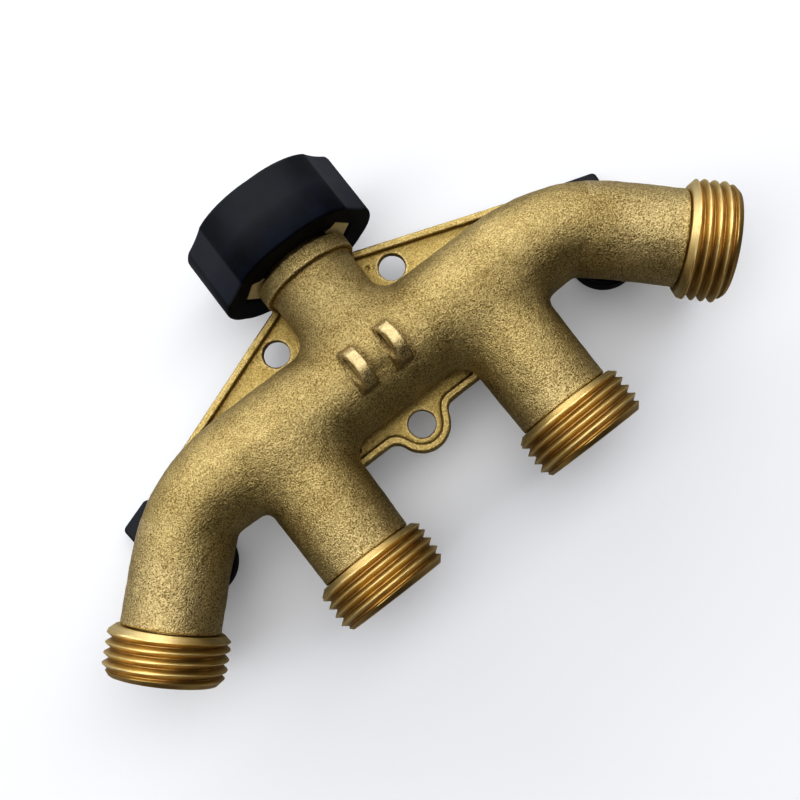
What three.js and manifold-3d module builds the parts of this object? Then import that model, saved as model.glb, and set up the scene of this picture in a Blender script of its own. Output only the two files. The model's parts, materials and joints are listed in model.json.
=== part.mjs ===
// A four-way brass hose splitter: one swivel inlet, a cast manifold and four outlets, each with a
// ball valve.
//
// Millimetres, +Z up. The splitter stands on its four valve handles, as it does on a bench: +X runs
// along the manifold, +Y points at the inlet, and the origin is the bottom centre of the whole
// object. The shapes are made in the casting's own frame, whose origin is where the inlet axis meets
// the manifold axis, and the exported group moves them into the part's frame.
import * as THREE from "three";
import { mergeVertices } from "three/addons/utils/BufferGeometryUtils.js";
import Module from "manifold-3d";

const wasm = await Module();
wasm.setup();

// ---- Driving dimensions -------------------------------------------------------------------------

const DEG = THREE.MathUtils.degToRad;
const GAP = 0.3; // clearance kept between pieces that touch
const ROUND = 20; // sides of a large round
const SMALL_ROUND = 12; // sides of a small one

// Hose thread: 3/4 inch garden hose, 11.5 threads an inch.
const THREAD_RADIUS = 13.5;
const THREAD_PITCH = 25.4 / 11.5;
const THREAD_DEPTH = 1.25;

// Casting: a manifold tube, two straight inner legs, two outer legs bent outwards, and the neck.
const TUBE_RADIUS = 11.9;
const TUBE_BORE = 8;
const LEG_RADIUS = 11; // at a leg's end; it tapers down to this from the tube's radius
const INNER_LEG_X = 27.5;
const BEND_X = 52.1; // where the manifold axis meets an outer leg's axis
const BEND_ANGLE = Math.PI / 4;
const BEND = { inside: 14, outside: 40 }; // radii of the bends that shape an elbow's two sides
const BEND_INSET = 0.8; // how far inside the bend point the bores meet
const INNER_BALL = 18.6; // from the manifold axis to an inner ball's centre
const OUTER_BALL = 13; // from the bend point to an outer ball's centre
const NECK_RADIUS = 10.4;
const NECK_BORE = 6.5;
const COLLAR = { radius: 11.9, from: 24.6, to: 28.5 };
const SPIGOT = { radius: 9.2, to: 36.4 }; // the neck beyond the collar, inside the nut
const SNAP_GROOVE = { radius: 7.9, from: 33.2, to: 35.1 };

// Mounting flange: thin webs beside the neck and between the inner legs, each with a raised rim
// along its edge.
const WEB = { bottom: -8.5, top: -6 };
const RIM = { bottom: -10, top: -4.5, width: 1.8 };
const UPPER_EDGE = { atZero: 29.6, slope: 0.365 }; // the upper webs' edge: y = atZero - slope * |x|
const UPPER_END = 62; // the upper webs end, at 45 degrees, where |x| + y reaches this
const LOWER_EDGE_Y = -16.2;
const LOBE_RADIUS = 6.5;
const LOBE_FILLET = 2.6;
const SCREW_HOLE = 3.2;
const UPPER_HOLE = { x: 16.9, y: 17.1 };
const LOWER_HOLE = { x: 0, y: -16.5 };

// Two ring lugs on top of the manifold.
const LUG = { x: 4.85, y: -0.6, z: 11.3, outer: 5.2, inner: 2.5, width: 3.1 };

// Valve, along the leg from the ball's centre (+ is towards the outlet), and down the stem (negative Z).
const BALL_RADIUS = 8.3;
const BALL_BORE = 5.5;
const CHAMBER = { radius: 9.3, start: -8 };
const PORT_BORE = 5.6;
const CAST_END = 14.2;
const SHOULDER = 15.8;
const OUTLET_END = 25.2;
const OUTLET_BORE = 6.5;
const BOSS = { radius: 6.2, bottom: -15.9 };
const STEM = { radius: 3.2, flange: 4.0, square: 4.2, shoulder: -16.2, end: -19.3, tongueTop: -6.6 };
const STEM_FLANGE = { top: -9, bottom: -10.2 };
const STEM_RECESS = { radius: 4.4, bottom: -11.4 };
const STEM_GROOVE = { radius: 1.9, top: -12.75, bottom: -14.45 };
const BALL_SLOT = { width: 3, floor: -6.3 };
const TONGUE_HALF = 2.5; // half the stem's tongue, along the ball's slot

// Handle: a hub on the stem's square with a flat lever, held by a screw from below.
const HANDLE = { top: -16.5, bottom: -22, hub: 8.5, reach: 19.6, tip: 4.75, corner: 1 };
const SKIRT = { inner: 6.5, top: -14.6 };
const SOCKET = { width: 4.8, floor: -19.6 };
const SCREW_SEAT = { radius: 3.3, z: -20.4 };
const SCREW = { head: 2.9, shaft: 1.25, slot: 0.4, tip: -15.6, headBottom: -21.7 };
const STOP_RIB = { half: DEG(10), reach: 8.2, top: -7, bottom: -16.2 };
const STOP_PLAY = DEG(2);
const QUARTER = Math.PI / 2;

// Swivel nut: a black grip of three dished lobes and three flats round a brass threaded insert.
const NUT = { back: 28.95, front: 44.8 };
const LOBE = { radius: 20.3, dish: 0.35, fall: 0.5, half: DEG(45.4), turn: DEG(3.4) };
const NUT_BACK_WALL = 1.65;
const NUT_BACK_HOLE = 12.4;
const NUT_WINDOW = [ // corners of the triangular notch: [radius, angle from the top]
  [14.8, DEG(51)],
  [15, DEG(82)],
  [12.7, DEG(106)],
];
const KEY = { back: 29.15, inner: 10.5 }; // the insert's keys, which fill the notches
const INSERT = { outer: 15.6, back: 30.9, wall: 2.1, hole: 9.6, front: 44.2 };
const SNAP_RING = { inner: SNAP_GROOVE.radius + GAP, outer: 11, split: DEG(12) };
const WASHER = { from: 36.7, to: 39.2, inner: 6.8, outer: 12.1 };

// The four outlets, left to right. rest and open are the handle's heading about +Z, from +X; stop is
// the heading of the casting's stop rib. Open is the heading in line with the leg.
const OUTLETS = [
  { name: "outer_left", side: -1, outer: true, rest: DEG(108.2), open: DEG(45), stop: DEG(270) },
  { name: "inner_left", side: -1, outer: false, rest: DEG(90), open: DEG(90), stop: DEG(225) },
  { name: "inner_right", side: 1, outer: false, rest: DEG(90), open: DEG(90), stop: DEG(315) },
  { name: "outer_right", side: 1, outer: true, rest: DEG(71.8), open: DEG(135), stop: DEG(270) },
];

// ---- Worked-out places --------------------------------------------------------------------------

for (const outlet of OUTLETS) {
  const turn = outlet.outer ? outlet.side * BEND_ANGLE : 0;
  const start = outlet.outer ? BEND_X : INNER_LEG_X;
  const reach = outlet.outer ? OUTER_BALL : INNER_BALL;
  outlet.axis = new THREE.Vector3(Math.sin(turn), -Math.cos(turn), 0);
  outlet.root = new THREE.Vector3(outlet.side * start, 0, 0);
  outlet.ball = outlet.root.clone().addScaledVector(outlet.axis, reach);
}
const bendReach = (radius) => radius * Math.tan(BEND_ANGLE / 2); // from a bend's point to its ends
const Y_LOW = -(INNER_BALL + OUTLET_END);
const Y_MIDDLE = (Y_LOW + NUT.front) / 2;

// ---- Solids -------------------------------------------------------------------------------------

// A three.js geometry as a solid, after an optional matrix.
function solid(geometry, matrix) {
  const moved = geometry.clone();
  if (matrix) moved.applyMatrix4(matrix);
  moved.deleteAttribute("normal");
  moved.deleteAttribute("uv");
  const merged = mergeVertices(moved, 1e-4);
  const mesh = new wasm.Mesh({
    numProp: 3,
    vertProperties: new Float32Array(merged.attributes.position.array),
    triVerts: new Uint32Array(merged.index.array),
  });
  return new wasm.Manifold(mesh);
}

function joined(solids) {
  return solids.reduce((sum, next) => sum.add(next));
}

function less(body, cuts) {
  return cuts.reduce((rest, cut) => rest.subtract(cut), body);
}

// The matrix that takes local +Y to the direction axis and the local origin to place.
function along(place, axis) {
  const turn = new THREE.Quaternion().setFromUnitVectors(new THREE.Vector3(0, 1, 0), axis);
  return new THREE.Matrix4().compose(place, turn, new THREE.Vector3(1, 1, 1));
}

function point(x, y, z) {
  return new THREE.Vector3(x, y, z);
}

// A cylinder or cone between two points.
function rod(from, to, radius, sides = ROUND, endRadius = radius) {
  const length = from.distanceTo(to);
  const axis = to.clone().sub(from).normalize();
  const middle = from.clone().add(to).multiplyScalar(0.5);
  return solid(new THREE.CylinderGeometry(endRadius, radius, length, sides), along(middle, axis));
}

// A cylinder round a vertical line, between two heights.
function post(x, y, low, high, radius, sides = SMALL_ROUND) {
  return rod(point(x, y, low), point(x, y, high), radius, sides);
}

function sphere(centre, radius) {
  const geometry = new THREE.SphereGeometry(radius, 16, 8);
  return solid(geometry, new THREE.Matrix4().makeTranslation(centre));
}

function block(low, high) {
  const box = new THREE.BoxGeometry(high[0] - low[0], high[1] - low[1], high[2] - low[2]);
  const middle = low.map((value, i) => (value + high[i]) / 2);
  return solid(box, new THREE.Matrix4().makeTranslation(...middle));
}

// A turned ring: profile points are [radius, distance along the axis], listed anticlockwise.
function turned(profile, sides = ROUND, matrix = undefined) {
  const points = profile.map(([radius, at]) => new THREE.Vector2(radius, at));
  points.push(points[0].clone());
  return solid(new THREE.LatheGeometry(points, sides), matrix);
}

// A ring of square section between two radii and two distances along its axis.
function plainRing(inner, outer, low, high, sides = ROUND, matrix = undefined) {
  const profile = [
    [inner, low],
    [outer, low],
    [outer, high],
    [inner, high],
  ];
  return turned(profile, sides, matrix);
}

// A flat shape in XY, made solid between two heights over a place in XY.
function plate(shape, low, high, arcPieces, x = 0, y = 0) {
  const options = { depth: high - low, bevelEnabled: false, curveSegments: arcPieces };
  const place = new THREE.Matrix4().makeTranslation(x, y, low);
  return solid(new THREE.ExtrudeGeometry(shape, options), place);
}

// The outline of a ring's sector between two headings.
function sectorShape(inner, outer, start, end) {
  const shape = new THREE.Shape();
  shape.absarc(0, 0, outer, start, end, false);
  shape.absarc(0, 0, inner, end, start, true);
  shape.closePath();
  return shape;
}

// ---- Materials ----------------------------------------------------------------------------------

const CAST_BRASS = { color: 0x9c8550, roughness: 0.55, metalness: 0.85 };
const TURNED_BRASS = { color: 0xc9a04a, roughness: 0.28, metalness: 1 };
const BLACK_PLASTIC = { color: 0x23262b, roughness: 0.5, metalness: 0 };
const WHITE_PTFE = { color: 0xe9e7e0, roughness: 0.6, metalness: 0 };
const CHROME = { color: 0xc4c7ca, roughness: 0.12, metalness: 1 };
const STEEL = { color: 0x9b9c9e, roughness: 0.35, metalness: 1 };
const BLACK_RUBBER = { color: 0x1b1b1b, roughness: 0.75, metalness: 0 };

// ---- The exported group -------------------------------------------------------------------------

const splitter = new THREE.Group();
splitter.position.set(0, -Y_MIDDLE, -HANDLE.bottom);

// Adds a solid to a group as one named mesh.
function addMesh(name, body, finish, parent = splitter) {
  const { vertProperties, triVerts } = body.getMesh();
  const geometry = new THREE.BufferGeometry();
  geometry.setAttribute("position", new THREE.BufferAttribute(new Float32Array(vertProperties), 3));
  geometry.setIndex(new THREE.BufferAttribute(new Uint32Array(triVerts), 1));
  geometry.computeVertexNormals();
  const mesh = new THREE.Mesh(geometry, new THREE.MeshStandardMaterial(finish));
  mesh.name = name;
  parent.add(mesh);
  return mesh;
}

function addGroup(place, parent = splitter) {
  const group = new THREE.Group();
  group.position.copy(place);
  parent.add(group);
  return group;
}

// ---- Casting ------------------------------------------------------------------------------------

// One ring of points round the swept tube on one side: part way round the bend, or at the leg's end.
// Each point follows a bend of its own radius, gentle on the outside and tight on the inside.
function tubeRing(side, turn, atEnd) {
  const points = [];
  for (let i = 0; i < ROUND; i++) {
    const out = Math.cos((i * 2 * Math.PI) / ROUND);
    const up = Math.sin((i * 2 * Math.PI) / ROUND);
    const bend = (BEND.outside + BEND.inside + (BEND.outside - BEND.inside) * out) / 2;
    const reach = atEnd ? OUTER_BALL + CAST_END - bendReach(bend) : 0;
    const radius = atEnd ? LEG_RADIUS : TUBE_RADIUS;
    const x = BEND_X - bendReach(bend) + bend * Math.sin(turn) + reach * Math.cos(turn);
    const y = bend * (Math.cos(turn) - 1) - reach * Math.sin(turn);
    const away = radius * out;
    points.push([side * (x + away * Math.sin(turn)), y + away * Math.cos(turn), radius * up]);
  }
  return points;
}

// The manifold tube and both outer legs, swept in one piece from one leg's end to the other's.
function sweptTube() {
  const steps = 5;
  const turns = [];
  for (let i = 0; i <= steps; i++) turns.push((BEND_ANGLE * i) / steps);
  const half = (side) => [
    ...turns.map((turn) => tubeRing(side, turn, false)),
    tubeRing(side, BEND_ANGLE, true),
  ];
  const rings = [...half(-1).reverse(), ...half(1)];
  const last = (rings.length - 1) * ROUND;
  const index = [];
  for (let j = 0; j < ROUND; j++) {
    const k = (j + 1) % ROUND;
    for (let at = 0; at < last; at += ROUND) {
      index.push(at + j, at + k, at + ROUND + k, at + j, at + ROUND + k, at + ROUND + j);
    }
    if (j > 0 && k > 0) index.push(0, k, j, last, last + j, last + k);
  }
  const geometry = new THREE.BufferGeometry();
  geometry.setAttribute("position", new THREE.Float32BufferAttribute(rings.flat(2), 3));
  geometry.setIndex(index);
  return solid(geometry);
}

function innerLegShell(outlet) {
  const to = outlet.ball.clone().addScaledVector(outlet.axis, CAST_END);
  return rod(outlet.root, to, TUBE_RADIUS - 0.3, ROUND, LEG_RADIUS);
}

// The stem boss under a leg, with the rib that stops the handle at each end of its quarter turn.
function stemBoss(outlet) {
  const { x, y } = outlet.ball;
  const boss = post(x, y, BOSS.bottom, -LEG_RADIUS / 2, BOSS.radius, ROUND);
  const { half, reach, top, bottom } = STOP_RIB;
  const rib = sectorShape(STEM_RECESS.radius + 0.8, reach, outlet.stop - half, outlet.stop + half);
  return boss.add(plate(rib, bottom, top, 2, x, y));
}

function legCavity(outlet) {
  const { x, y } = outlet.ball;
  const at = (distance) => outlet.ball.clone().addScaledVector(outlet.axis, distance);
  return [
    rod(outlet.root, at(CHAMBER.start + 1), PORT_BORE),
    rod(at(CHAMBER.start), at(CAST_END + 1), CHAMBER.radius),
    post(x, y, STEM_RECESS.bottom, 0, STEM_RECESS.radius),
    post(x, y, BOSS.bottom - 1, STEM_RECESS.bottom + 1, STEM.radius + GAP),
  ];
}

// One upper web's outline: along the manifold's axis, up its slanting end, and back along the
// sloping edge to the neck.
function upperWebShape(side, inset) {
  const edge = (x) => UPPER_EDGE.atZero - UPPER_EDGE.slope * x - inset;
  const end = UPPER_END - inset * Math.SQRT2;
  const cornerX = (end - edge(0)) / (1 - UPPER_EDGE.slope);
  const shape = new THREE.Shape();
  shape.moveTo(0, 0);
  shape.lineTo(side * end, 0);
  shape.lineTo(side * cornerX, edge(cornerX));
  shape.lineTo(side * (NECK_RADIUS - 2), edge(NECK_RADIUS - 2));
  shape.lineTo(0, edge(NECK_RADIUS - 2));
  shape.closePath();
  return shape;
}

// The lower web's outline: straight edges that flow through a fillet into the lobe round the hole.
function lowerWebShape(inset) {
  const edge = LOWER_EDGE_Y + inset;
  const lobe = LOBE_RADIUS - inset;
  const fillet = LOBE_FILLET + inset;
  const drop = fillet + LOWER_HOLE.y - edge; // from a fillet's centre up to the lobe's centre
  const filletX = Math.sqrt((lobe + fillet) ** 2 - drop ** 2);
  const meet = Math.atan2(drop, filletX);
  const shape = new THREE.Shape();
  shape.moveTo(-INNER_LEG_X, 0);
  shape.lineTo(-INNER_LEG_X, edge);
  shape.absarc(-filletX, edge - fillet, fillet, Math.PI / 2, meet, true);
  shape.absarc(LOWER_HOLE.x, LOWER_HOLE.y, lobe, Math.PI + meet, 2 * Math.PI - meet, false);
  shape.absarc(filletX, edge - fillet, fillet, Math.PI - meet, Math.PI / 2, true);
  shape.lineTo(INNER_LEG_X, edge);
  shape.lineTo(INNER_LEG_X, 0);
  shape.closePath();
  return shape;
}

// A web with its rim: the rim stands above and below the thinner web.
function flange(shapeAt) {
  const arcPieces = 4;
  const whole = plate(shapeAt(0), RIM.bottom, RIM.top, arcPieces);
  const pocket = (low, high) => plate(shapeAt(RIM.width), low, high, arcPieces);
  return less(whole, [pocket(WEB.top, RIM.top + 1), pocket(RIM.bottom - 1, WEB.bottom)]);
}

function screwHoles() {
  const places = [LOWER_HOLE, UPPER_HOLE, { x: -UPPER_HOLE.x, y: UPPER_HOLE.y }];
  return places.map(({ x, y }) => post(x, y, RIM.bottom - 1, RIM.top + 1, SCREW_HOLE));
}

// A ring lug that stands across the top of the manifold, with its eye along X.
function ringLug(side) {
  const { x, y, z, outer, inner, width } = LUG;
  const sideways = along(point(side * x, y, z), point(1, 0, 0));
  return plainRing(inner, outer, -width / 2, width / 2, 14, sideways);
}

// The water's way: the neck's bore, the manifold's bore and its turn into each outer leg.
function manifoldCavity() {
  const straight = BEND_X - bendReach(BEND.outside) - 2;
  const cuts = [
    rod(point(-straight, 0, 0), point(straight, 0, 0), TUBE_BORE),
    rod(point(0, 0, 0), point(0, SPIGOT.to + 1, 0), NECK_BORE),
  ];
  for (const side of [-1, 1]) {
    const turn = point(side * (BEND_X - BEND_INSET), -BEND_INSET, 0);
    cuts.push(rod(point(side * (straight - 1), 0, 0), turn, TUBE_BORE), sphere(turn, TUBE_BORE));
  }
  return cuts;
}

function makeCasting() {
  const neckRod = (from, to, radius) => rod(point(0, from, 0), point(0, to, 0), radius);
  const shell = joined([
    neckRod(0, COLLAR.from + 1, NECK_RADIUS),
    neckRod(COLLAR.from, COLLAR.to, COLLAR.radius),
    neckRod(COLLAR.from, SPIGOT.to, SPIGOT.radius),
    sweptTube(),
    ...OUTLETS.filter((outlet) => !outlet.outer).map(innerLegShell),
    ...OUTLETS.map(stemBoss),
  ]);
  const webs = joined([
    flange((inset) => upperWebShape(-1, inset)),
    flange((inset) => upperWebShape(1, inset)),
    flange(lowerWebShape),
  ]);
  const body = joined([shell, less(webs, screwHoles()), ringLug(-1), ringLug(1)]);
  const { radius, from, to } = SNAP_GROOVE;
  const snapGroove = plainRing(radius, SPIGOT.radius + 1, from, to);
  const cuts = [...manifoldCavity(), ...OUTLETS.flatMap(legCavity)];
  addMesh("manifold_body", less(body, [joined(cuts), snapGroove]), CAST_BRASS);
}

// ---- Outlets and valves -------------------------------------------------------------------------

// The crests of the outlet's thread, as profile points from the shoulder to the end chamfer.
function threadProfile() {
  const root = THREAD_RADIUS - THREAD_DEPTH;
  const points = [];
  for (let i = 0; i < 3; i++) {
    const crest = SHOULDER + THREAD_PITCH * (i + 0.9);
    points.push([root, crest - THREAD_PITCH / 2], [THREAD_RADIUS, crest]);
  }
  return points;
}

// The turned outlet: a shank screwed into the casting, a shoulder and the male hose thread.
function tailpiece() {
  const root = THREAD_RADIUS - THREAD_DEPTH;
  const shank = CHAMBER.radius - GAP;
  return turned([
    [OUTLET_BORE, -CHAMBER.start],
    [shank, -CHAMBER.start],
    [shank, CAST_END + GAP],
    [root - 0.3, CAST_END + GAP],
    [THREAD_RADIUS, SHOULDER],
    ...threadProfile(),
    [root, OUTLET_END - 2],
    [THREAD_RADIUS - 0.5, OUTLET_END - 1.6],
    [root - 0.4, OUTLET_END],
    [OUTLET_BORE, OUTLET_END],
  ]);
}

// A seat ring, cupped to the ball; the ball's side is towards negative distance.
function seat() {
  const inner = PORT_BORE;
  const outer = CHAMBER.radius - GAP;
  const cup = BALL_RADIUS + GAP;
  const lip = 3;
  const start = Math.asin(lip / cup);
  const end = Math.acos(inner / cup);
  const face = [0, 1, 2, 3].map((i) => start + ((end - start) * i) / 3);
  const arc = face.map((angle) => [cup * Math.cos(angle), cup * Math.sin(angle)]);
  const back = -CHAMBER.start - GAP;
  return turned([...arc.reverse(), [outer, lip], [outer, back], [inner, back]], SMALL_ROUND);
}

// The ball, bored along local +Y, with the stem's slot across its underside.
function valveBall() {
  const bored = rod(point(0, -BALL_RADIUS, 0), point(0, BALL_RADIUS, 0), BALL_BORE, SMALL_ROUND);
  const half = BALL_SLOT.width / 2;
  const slot = block([-BALL_RADIUS, -half, -BALL_RADIUS - 1], [BALL_RADIUS, half, BALL_SLOT.floor]);
  return less(sphere(point(0, 0, 0), BALL_RADIUS), [bored, slot]);
}

// The stem, from its tongue in the ball's slot down to the handle's square.
function valveStem() {
  const thin = BALL_SLOT.width / 2 - GAP;
  const root = STEM_FLANGE.top - 0.5;
  const tongue = block([-TONGUE_HALF, -thin, root], [TONGUE_HALF, thin, STEM.tongueTop]);
  const half = STEM.square / 2;
  const square = block([-half, -half, STEM.end], [half, half, STEM.shoulder + 1]);
  const stem = joined([
    post(0, 0, STEM_FLANGE.bottom, STEM_FLANGE.top, STEM.flange),
    post(0, 0, STEM_GROOVE.top, STEM_FLANGE.top, STEM.radius),
    post(0, 0, STEM_GROOVE.bottom, STEM_GROOVE.top, STEM_GROOVE.radius),
    post(0, 0, STEM.shoulder, STEM_GROOVE.bottom, STEM.radius),
    square,
    tongue,
  ]);
  return less(stem, [post(0, 0, STEM.end - 1, SCREW.tip + GAP, SCREW.shaft + GAP, 8)]);
}

function stemWasher() {
  const upright = along(point(0, 0, 0), point(0, 0, 1));
  const low = STEM_RECESS.bottom + GAP;
  const high = STEM_FLANGE.bottom - GAP;
  return plainRing(STEM.radius + GAP, STEM_RECESS.radius - GAP, low, high, SMALL_ROUND, upright);
}

function stemORing() {
  const section = (STEM.radius + GAP - STEM_GROOVE.radius) / 2 - 0.25;
  const middle = (STEM.radius + GAP + STEM_GROOVE.radius) / 2;
  const height = (STEM_GROOVE.top + STEM_GROOVE.bottom) / 2;
  const torus = new THREE.TorusGeometry(middle, section, 5, 12);
  return solid(torus, new THREE.Matrix4().makeTranslation(0, 0, height));
}

// The handle with its lever along local +X, before it is turned to its heading.
function handleShape() {
  const { hub, reach, tip, corner } = HANDLE;
  const leave = Math.acos((hub - tip) / reach); // the heading where the lever's edge leaves the hub
  const shape = new THREE.Shape();
  shape.absarc(0, 0, hub, leave, 2 * Math.PI - leave, false);
  shape.absarc(reach - corner, corner - tip, corner, -leave, 0, false);
  shape.absarc(reach - corner, tip - corner, corner, 0, leave, false);
  shape.closePath();
  return shape;
}

// The handle, with the skirt that meets the casting's stop rib after a quarter turn. The lever is
// along +X.
function handle(outlet) {
  const middle = (outlet.open + closedHeading(outlet)) / 2;
  const gapMiddle = outlet.stop - middle; // from the lever's heading
  const gapHalf = QUARTER / 2 + STOP_RIB.half + STOP_PLAY;
  const skirtEnd = gapMiddle - gapHalf + 2 * Math.PI;
  const skirt = sectorShape(SKIRT.inner, HANDLE.hub, gapMiddle + gapHalf, skirtEnd);
  const half = SOCKET.width / 2;
  const lever = plate(handleShape(), HANDLE.bottom, HANDLE.top, 7);
  return less(lever.add(plate(skirt, HANDLE.top - 0.5, SKIRT.top, 7)), [
    block([-half, -half, SOCKET.floor], [half, half, HANDLE.top + 1]),
    post(0, 0, HANDLE.bottom - 1, SCREW_SEAT.z, SCREW_SEAT.radius),
    post(0, 0, SCREW_SEAT.z - 1, SOCKET.floor + 1, SCREW.shaft + GAP, 8),
  ]);
}

function closedHeading(outlet) {
  const inwards = outlet.outer ? -outlet.side : outlet.side;
  return outlet.open + inwards * QUARTER;
}

function handleScrew() {
  const seatZ = SCREW_SEAT.z - GAP;
  const head = post(0, 0, SCREW.headBottom, seatZ, SCREW.head);
  const shaft = post(0, 0, seatZ - 0.2, SCREW.tip, SCREW.shaft, 8);
  const { head: reach, headBottom, slot: half } = SCREW;
  const slot = block([-reach, -half, headBottom - 1], [reach, half, headBottom + 0.5]);
  return less(head.add(shaft), [slot]);
}

// One outlet: the pieces that stay in the leg, then those that turn with the handle.
function makeOutlet(outlet) {
  const leg = addGroup(outlet.ball);
  leg.quaternion.setFromUnitVectors(point(0, 1, 0), outlet.axis);
  addMesh("tailpiece_" + outlet.name, tailpiece(), TURNED_BRASS, leg);
  addMesh("outlet_seat_" + outlet.name, seat(), WHITE_PTFE, leg);
  const inletSeat = addMesh("inlet_seat_" + outlet.name, seat(), WHITE_PTFE, leg);
  inletSeat.rotation.x = Math.PI;

  const upright = addGroup(outlet.ball);
  addMesh("stem_washer_" + outlet.name, stemWasher(), WHITE_PTFE, upright);
  addMesh("stem_o_ring_" + outlet.name, stemORing(), BLACK_RUBBER, upright);

  // The ball's bore is along the leg when the handle is in line with it.
  const core = addGroup(point(0, 0, 0), upright);
  core.rotation.z = Math.atan2(outlet.axis.y, outlet.axis.x) - Math.PI / 2 + outlet.rest - outlet.open;
  addMesh("valve_ball_" + outlet.name, valveBall(), CHROME, core);
  addMesh("valve_stem_" + outlet.name, valveStem(), TURNED_BRASS, core);

  const grip = addGroup(point(0, 0, 0), upright);
  grip.rotation.z = outlet.rest;
  addMesh("valve_handle_" + outlet.name, handle(outlet), BLACK_PLASTIC, grip);
  addMesh("handle_screw_" + outlet.name, handleScrew(), STEEL, grip);
}

// ---- Inlet --------------------------------------------------------------------------------------

// The grip's outline seen along the inlet, with X across and the second axis up: three slightly
// dished lobes, one of them nearly on top, joined by three flats.
function gripShape() {
  const steps = 8;
  const points = [];
  for (let lobe = 0; lobe < 3; lobe++) {
    const centre = Math.PI / 2 - LOBE.turn - (lobe * 2 * Math.PI) / 3;
    for (let i = 0; i <= steps; i++) {
      const across = 1 - (2 * i) / steps;
      const turn = LOBE.half * across;
      const fromHump = (2 * Math.abs(across) - 1) ** 2; // 0 at the humps, 1 at the middle and ends
      const drop = Math.abs(across) < 0.5 ? LOBE.dish * fromHump : LOBE.fall * fromHump;
      const radius = LOBE.radius - drop;
      points.push(new THREE.Vector2(radius * Math.cos(centre + turn), radius * Math.sin(centre + turn)));
    }
  }
  return new THREE.Shape(points.reverse());
}

// A flat shape seen along the inlet (X across, Z up), made solid between two distances along it.
function alongInlet(shape, from, to, arcPieces = 4) {
  const options = { depth: to - from, bevelEnabled: false, curveSegments: arcPieces };
  const matrix = new THREE.Matrix4().makeTranslation(0, to, 0);
  matrix.multiply(new THREE.Matrix4().makeRotationX(Math.PI / 2));
  return solid(new THREE.ExtrudeGeometry(shape, options), matrix);
}

// The outline of a notch in the grip's back wall, or of the insert's key in it, on one side.
function notchShape(side, inner, inset) {
  const away = inset / NUT_WINDOW[0][0]; // the inset as an angle, at the notch's two ends
  const first = NUT_WINDOW[0][1] + away;
  const last = NUT_WINDOW[2][1] - away;
  const corners = [[inner, first]];
  for (const [radius, angle] of NUT_WINDOW) {
    const kept = Math.min(Math.max(angle, first), last);
    corners.push([Math.max(radius - inset, inner + 0.05), kept]);
  }
  corners.push([inner, last]);
  const shape = new THREE.Shape();
  shape.setFromPoints(
    corners.map(([radius, angle]) => {
      return new THREE.Vector2(side * radius * Math.sin(angle), radius * Math.cos(angle));
    }),
  );
  return shape;
}

// A notch that opens the back wall's hole outwards and shows the insert.
function backWindow(side) {
  const wallEnd = NUT.back + NUT_BACK_WALL;
  return alongInlet(notchShape(side, NUT_BACK_HOLE - 1, 0), NUT.back - 1, wallEnd + 1);
}

// A key that stands on the insert's back and turns the grip with it.
function insertKey(side) {
  return alongInlet(notchShape(side, KEY.inner, GAP), KEY.back, INSERT.back + 0.5);
}

function nutGrip() {
  const cavity = INSERT.outer + GAP;
  const wallEnd = NUT.back + NUT_BACK_WALL;
  const hollow = turned([
    [0, NUT.back - 1],
    [NUT_BACK_HOLE, NUT.back - 1],
    [NUT_BACK_HOLE, wallEnd],
    [cavity, wallEnd],
    [cavity, NUT.front + 1],
    [0, NUT.front + 1],
  ]);
  const windows = [backWindow(-1), backWindow(1)];
  return less(alongInlet(gripShape(), NUT.back, NUT.front), [hollow, ...windows]);
}

// The insert: a back wall that turns on the spigot, its two keys, and the female hose thread.
function nutInsert() {
  const root = THREAD_RADIUS + 0.2;
  const crest = root - THREAD_DEPTH;
  const grooves = [];
  for (let i = 0; i < 3; i++) {
    const middle = INSERT.front - THREAD_PITCH * (i + 1);
    grooves.push([crest, middle + THREAD_PITCH / 2], [root, middle]);
  }
  const ring = turned([
    [INSERT.hole, INSERT.back],
    [INSERT.outer, INSERT.back],
    [INSERT.outer, INSERT.front],
    [root, INSERT.front],
    ...grooves,
    [crest, INSERT.front - THREAD_PITCH * 3.5],
    [crest, INSERT.back + INSERT.wall],
    [INSERT.hole, INSERT.back + INSERT.wall],
  ]);
  return joined([ring, insertKey(-1), insertKey(1)]);
}

// The split ring in the spigot's groove that keeps the nut on.
function snapRing() {
  const shape = new THREE.Shape();
  const { inner, outer, split } = SNAP_RING;
  shape.absarc(0, 0, outer, split, 2 * Math.PI - split, false);
  shape.absarc(0, 0, inner, 2 * Math.PI - split, split, true);
  shape.closePath();
  return alongInlet(shape, SNAP_GROOVE.from + GAP, SNAP_GROOVE.to - GAP, ROUND / 2);
}

function makeInlet() {
  addMesh("swivel_nut_grip", nutGrip(), BLACK_PLASTIC);
  addMesh("swivel_nut_insert", nutInsert(), TURNED_BRASS);
  addMesh("neck_snap_ring", snapRing(), STEEL);
  addMesh("inlet_washer", plainRing(WASHER.inner, WASHER.outer, WASHER.from, WASHER.to), BLACK_RUBBER);
}

makeCasting();
OUTLETS.forEach(makeOutlet);
makeInlet();

export default splitter;
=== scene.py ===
"""The looks of a four-way brass hose splitter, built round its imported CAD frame.

Shapes are worked out in millimetres. The casting and the inlet are made in the casting's frame: its
origin is where the inlet axis meets the manifold axis, +X runs along the manifold, +Y points at the
inlet and +Z up, away from the handles. Each valve's pieces are made about their ball's centre.
"""
import json
import math

import bpy
import numpy as np
from mathutils import Matrix, Vector


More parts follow.
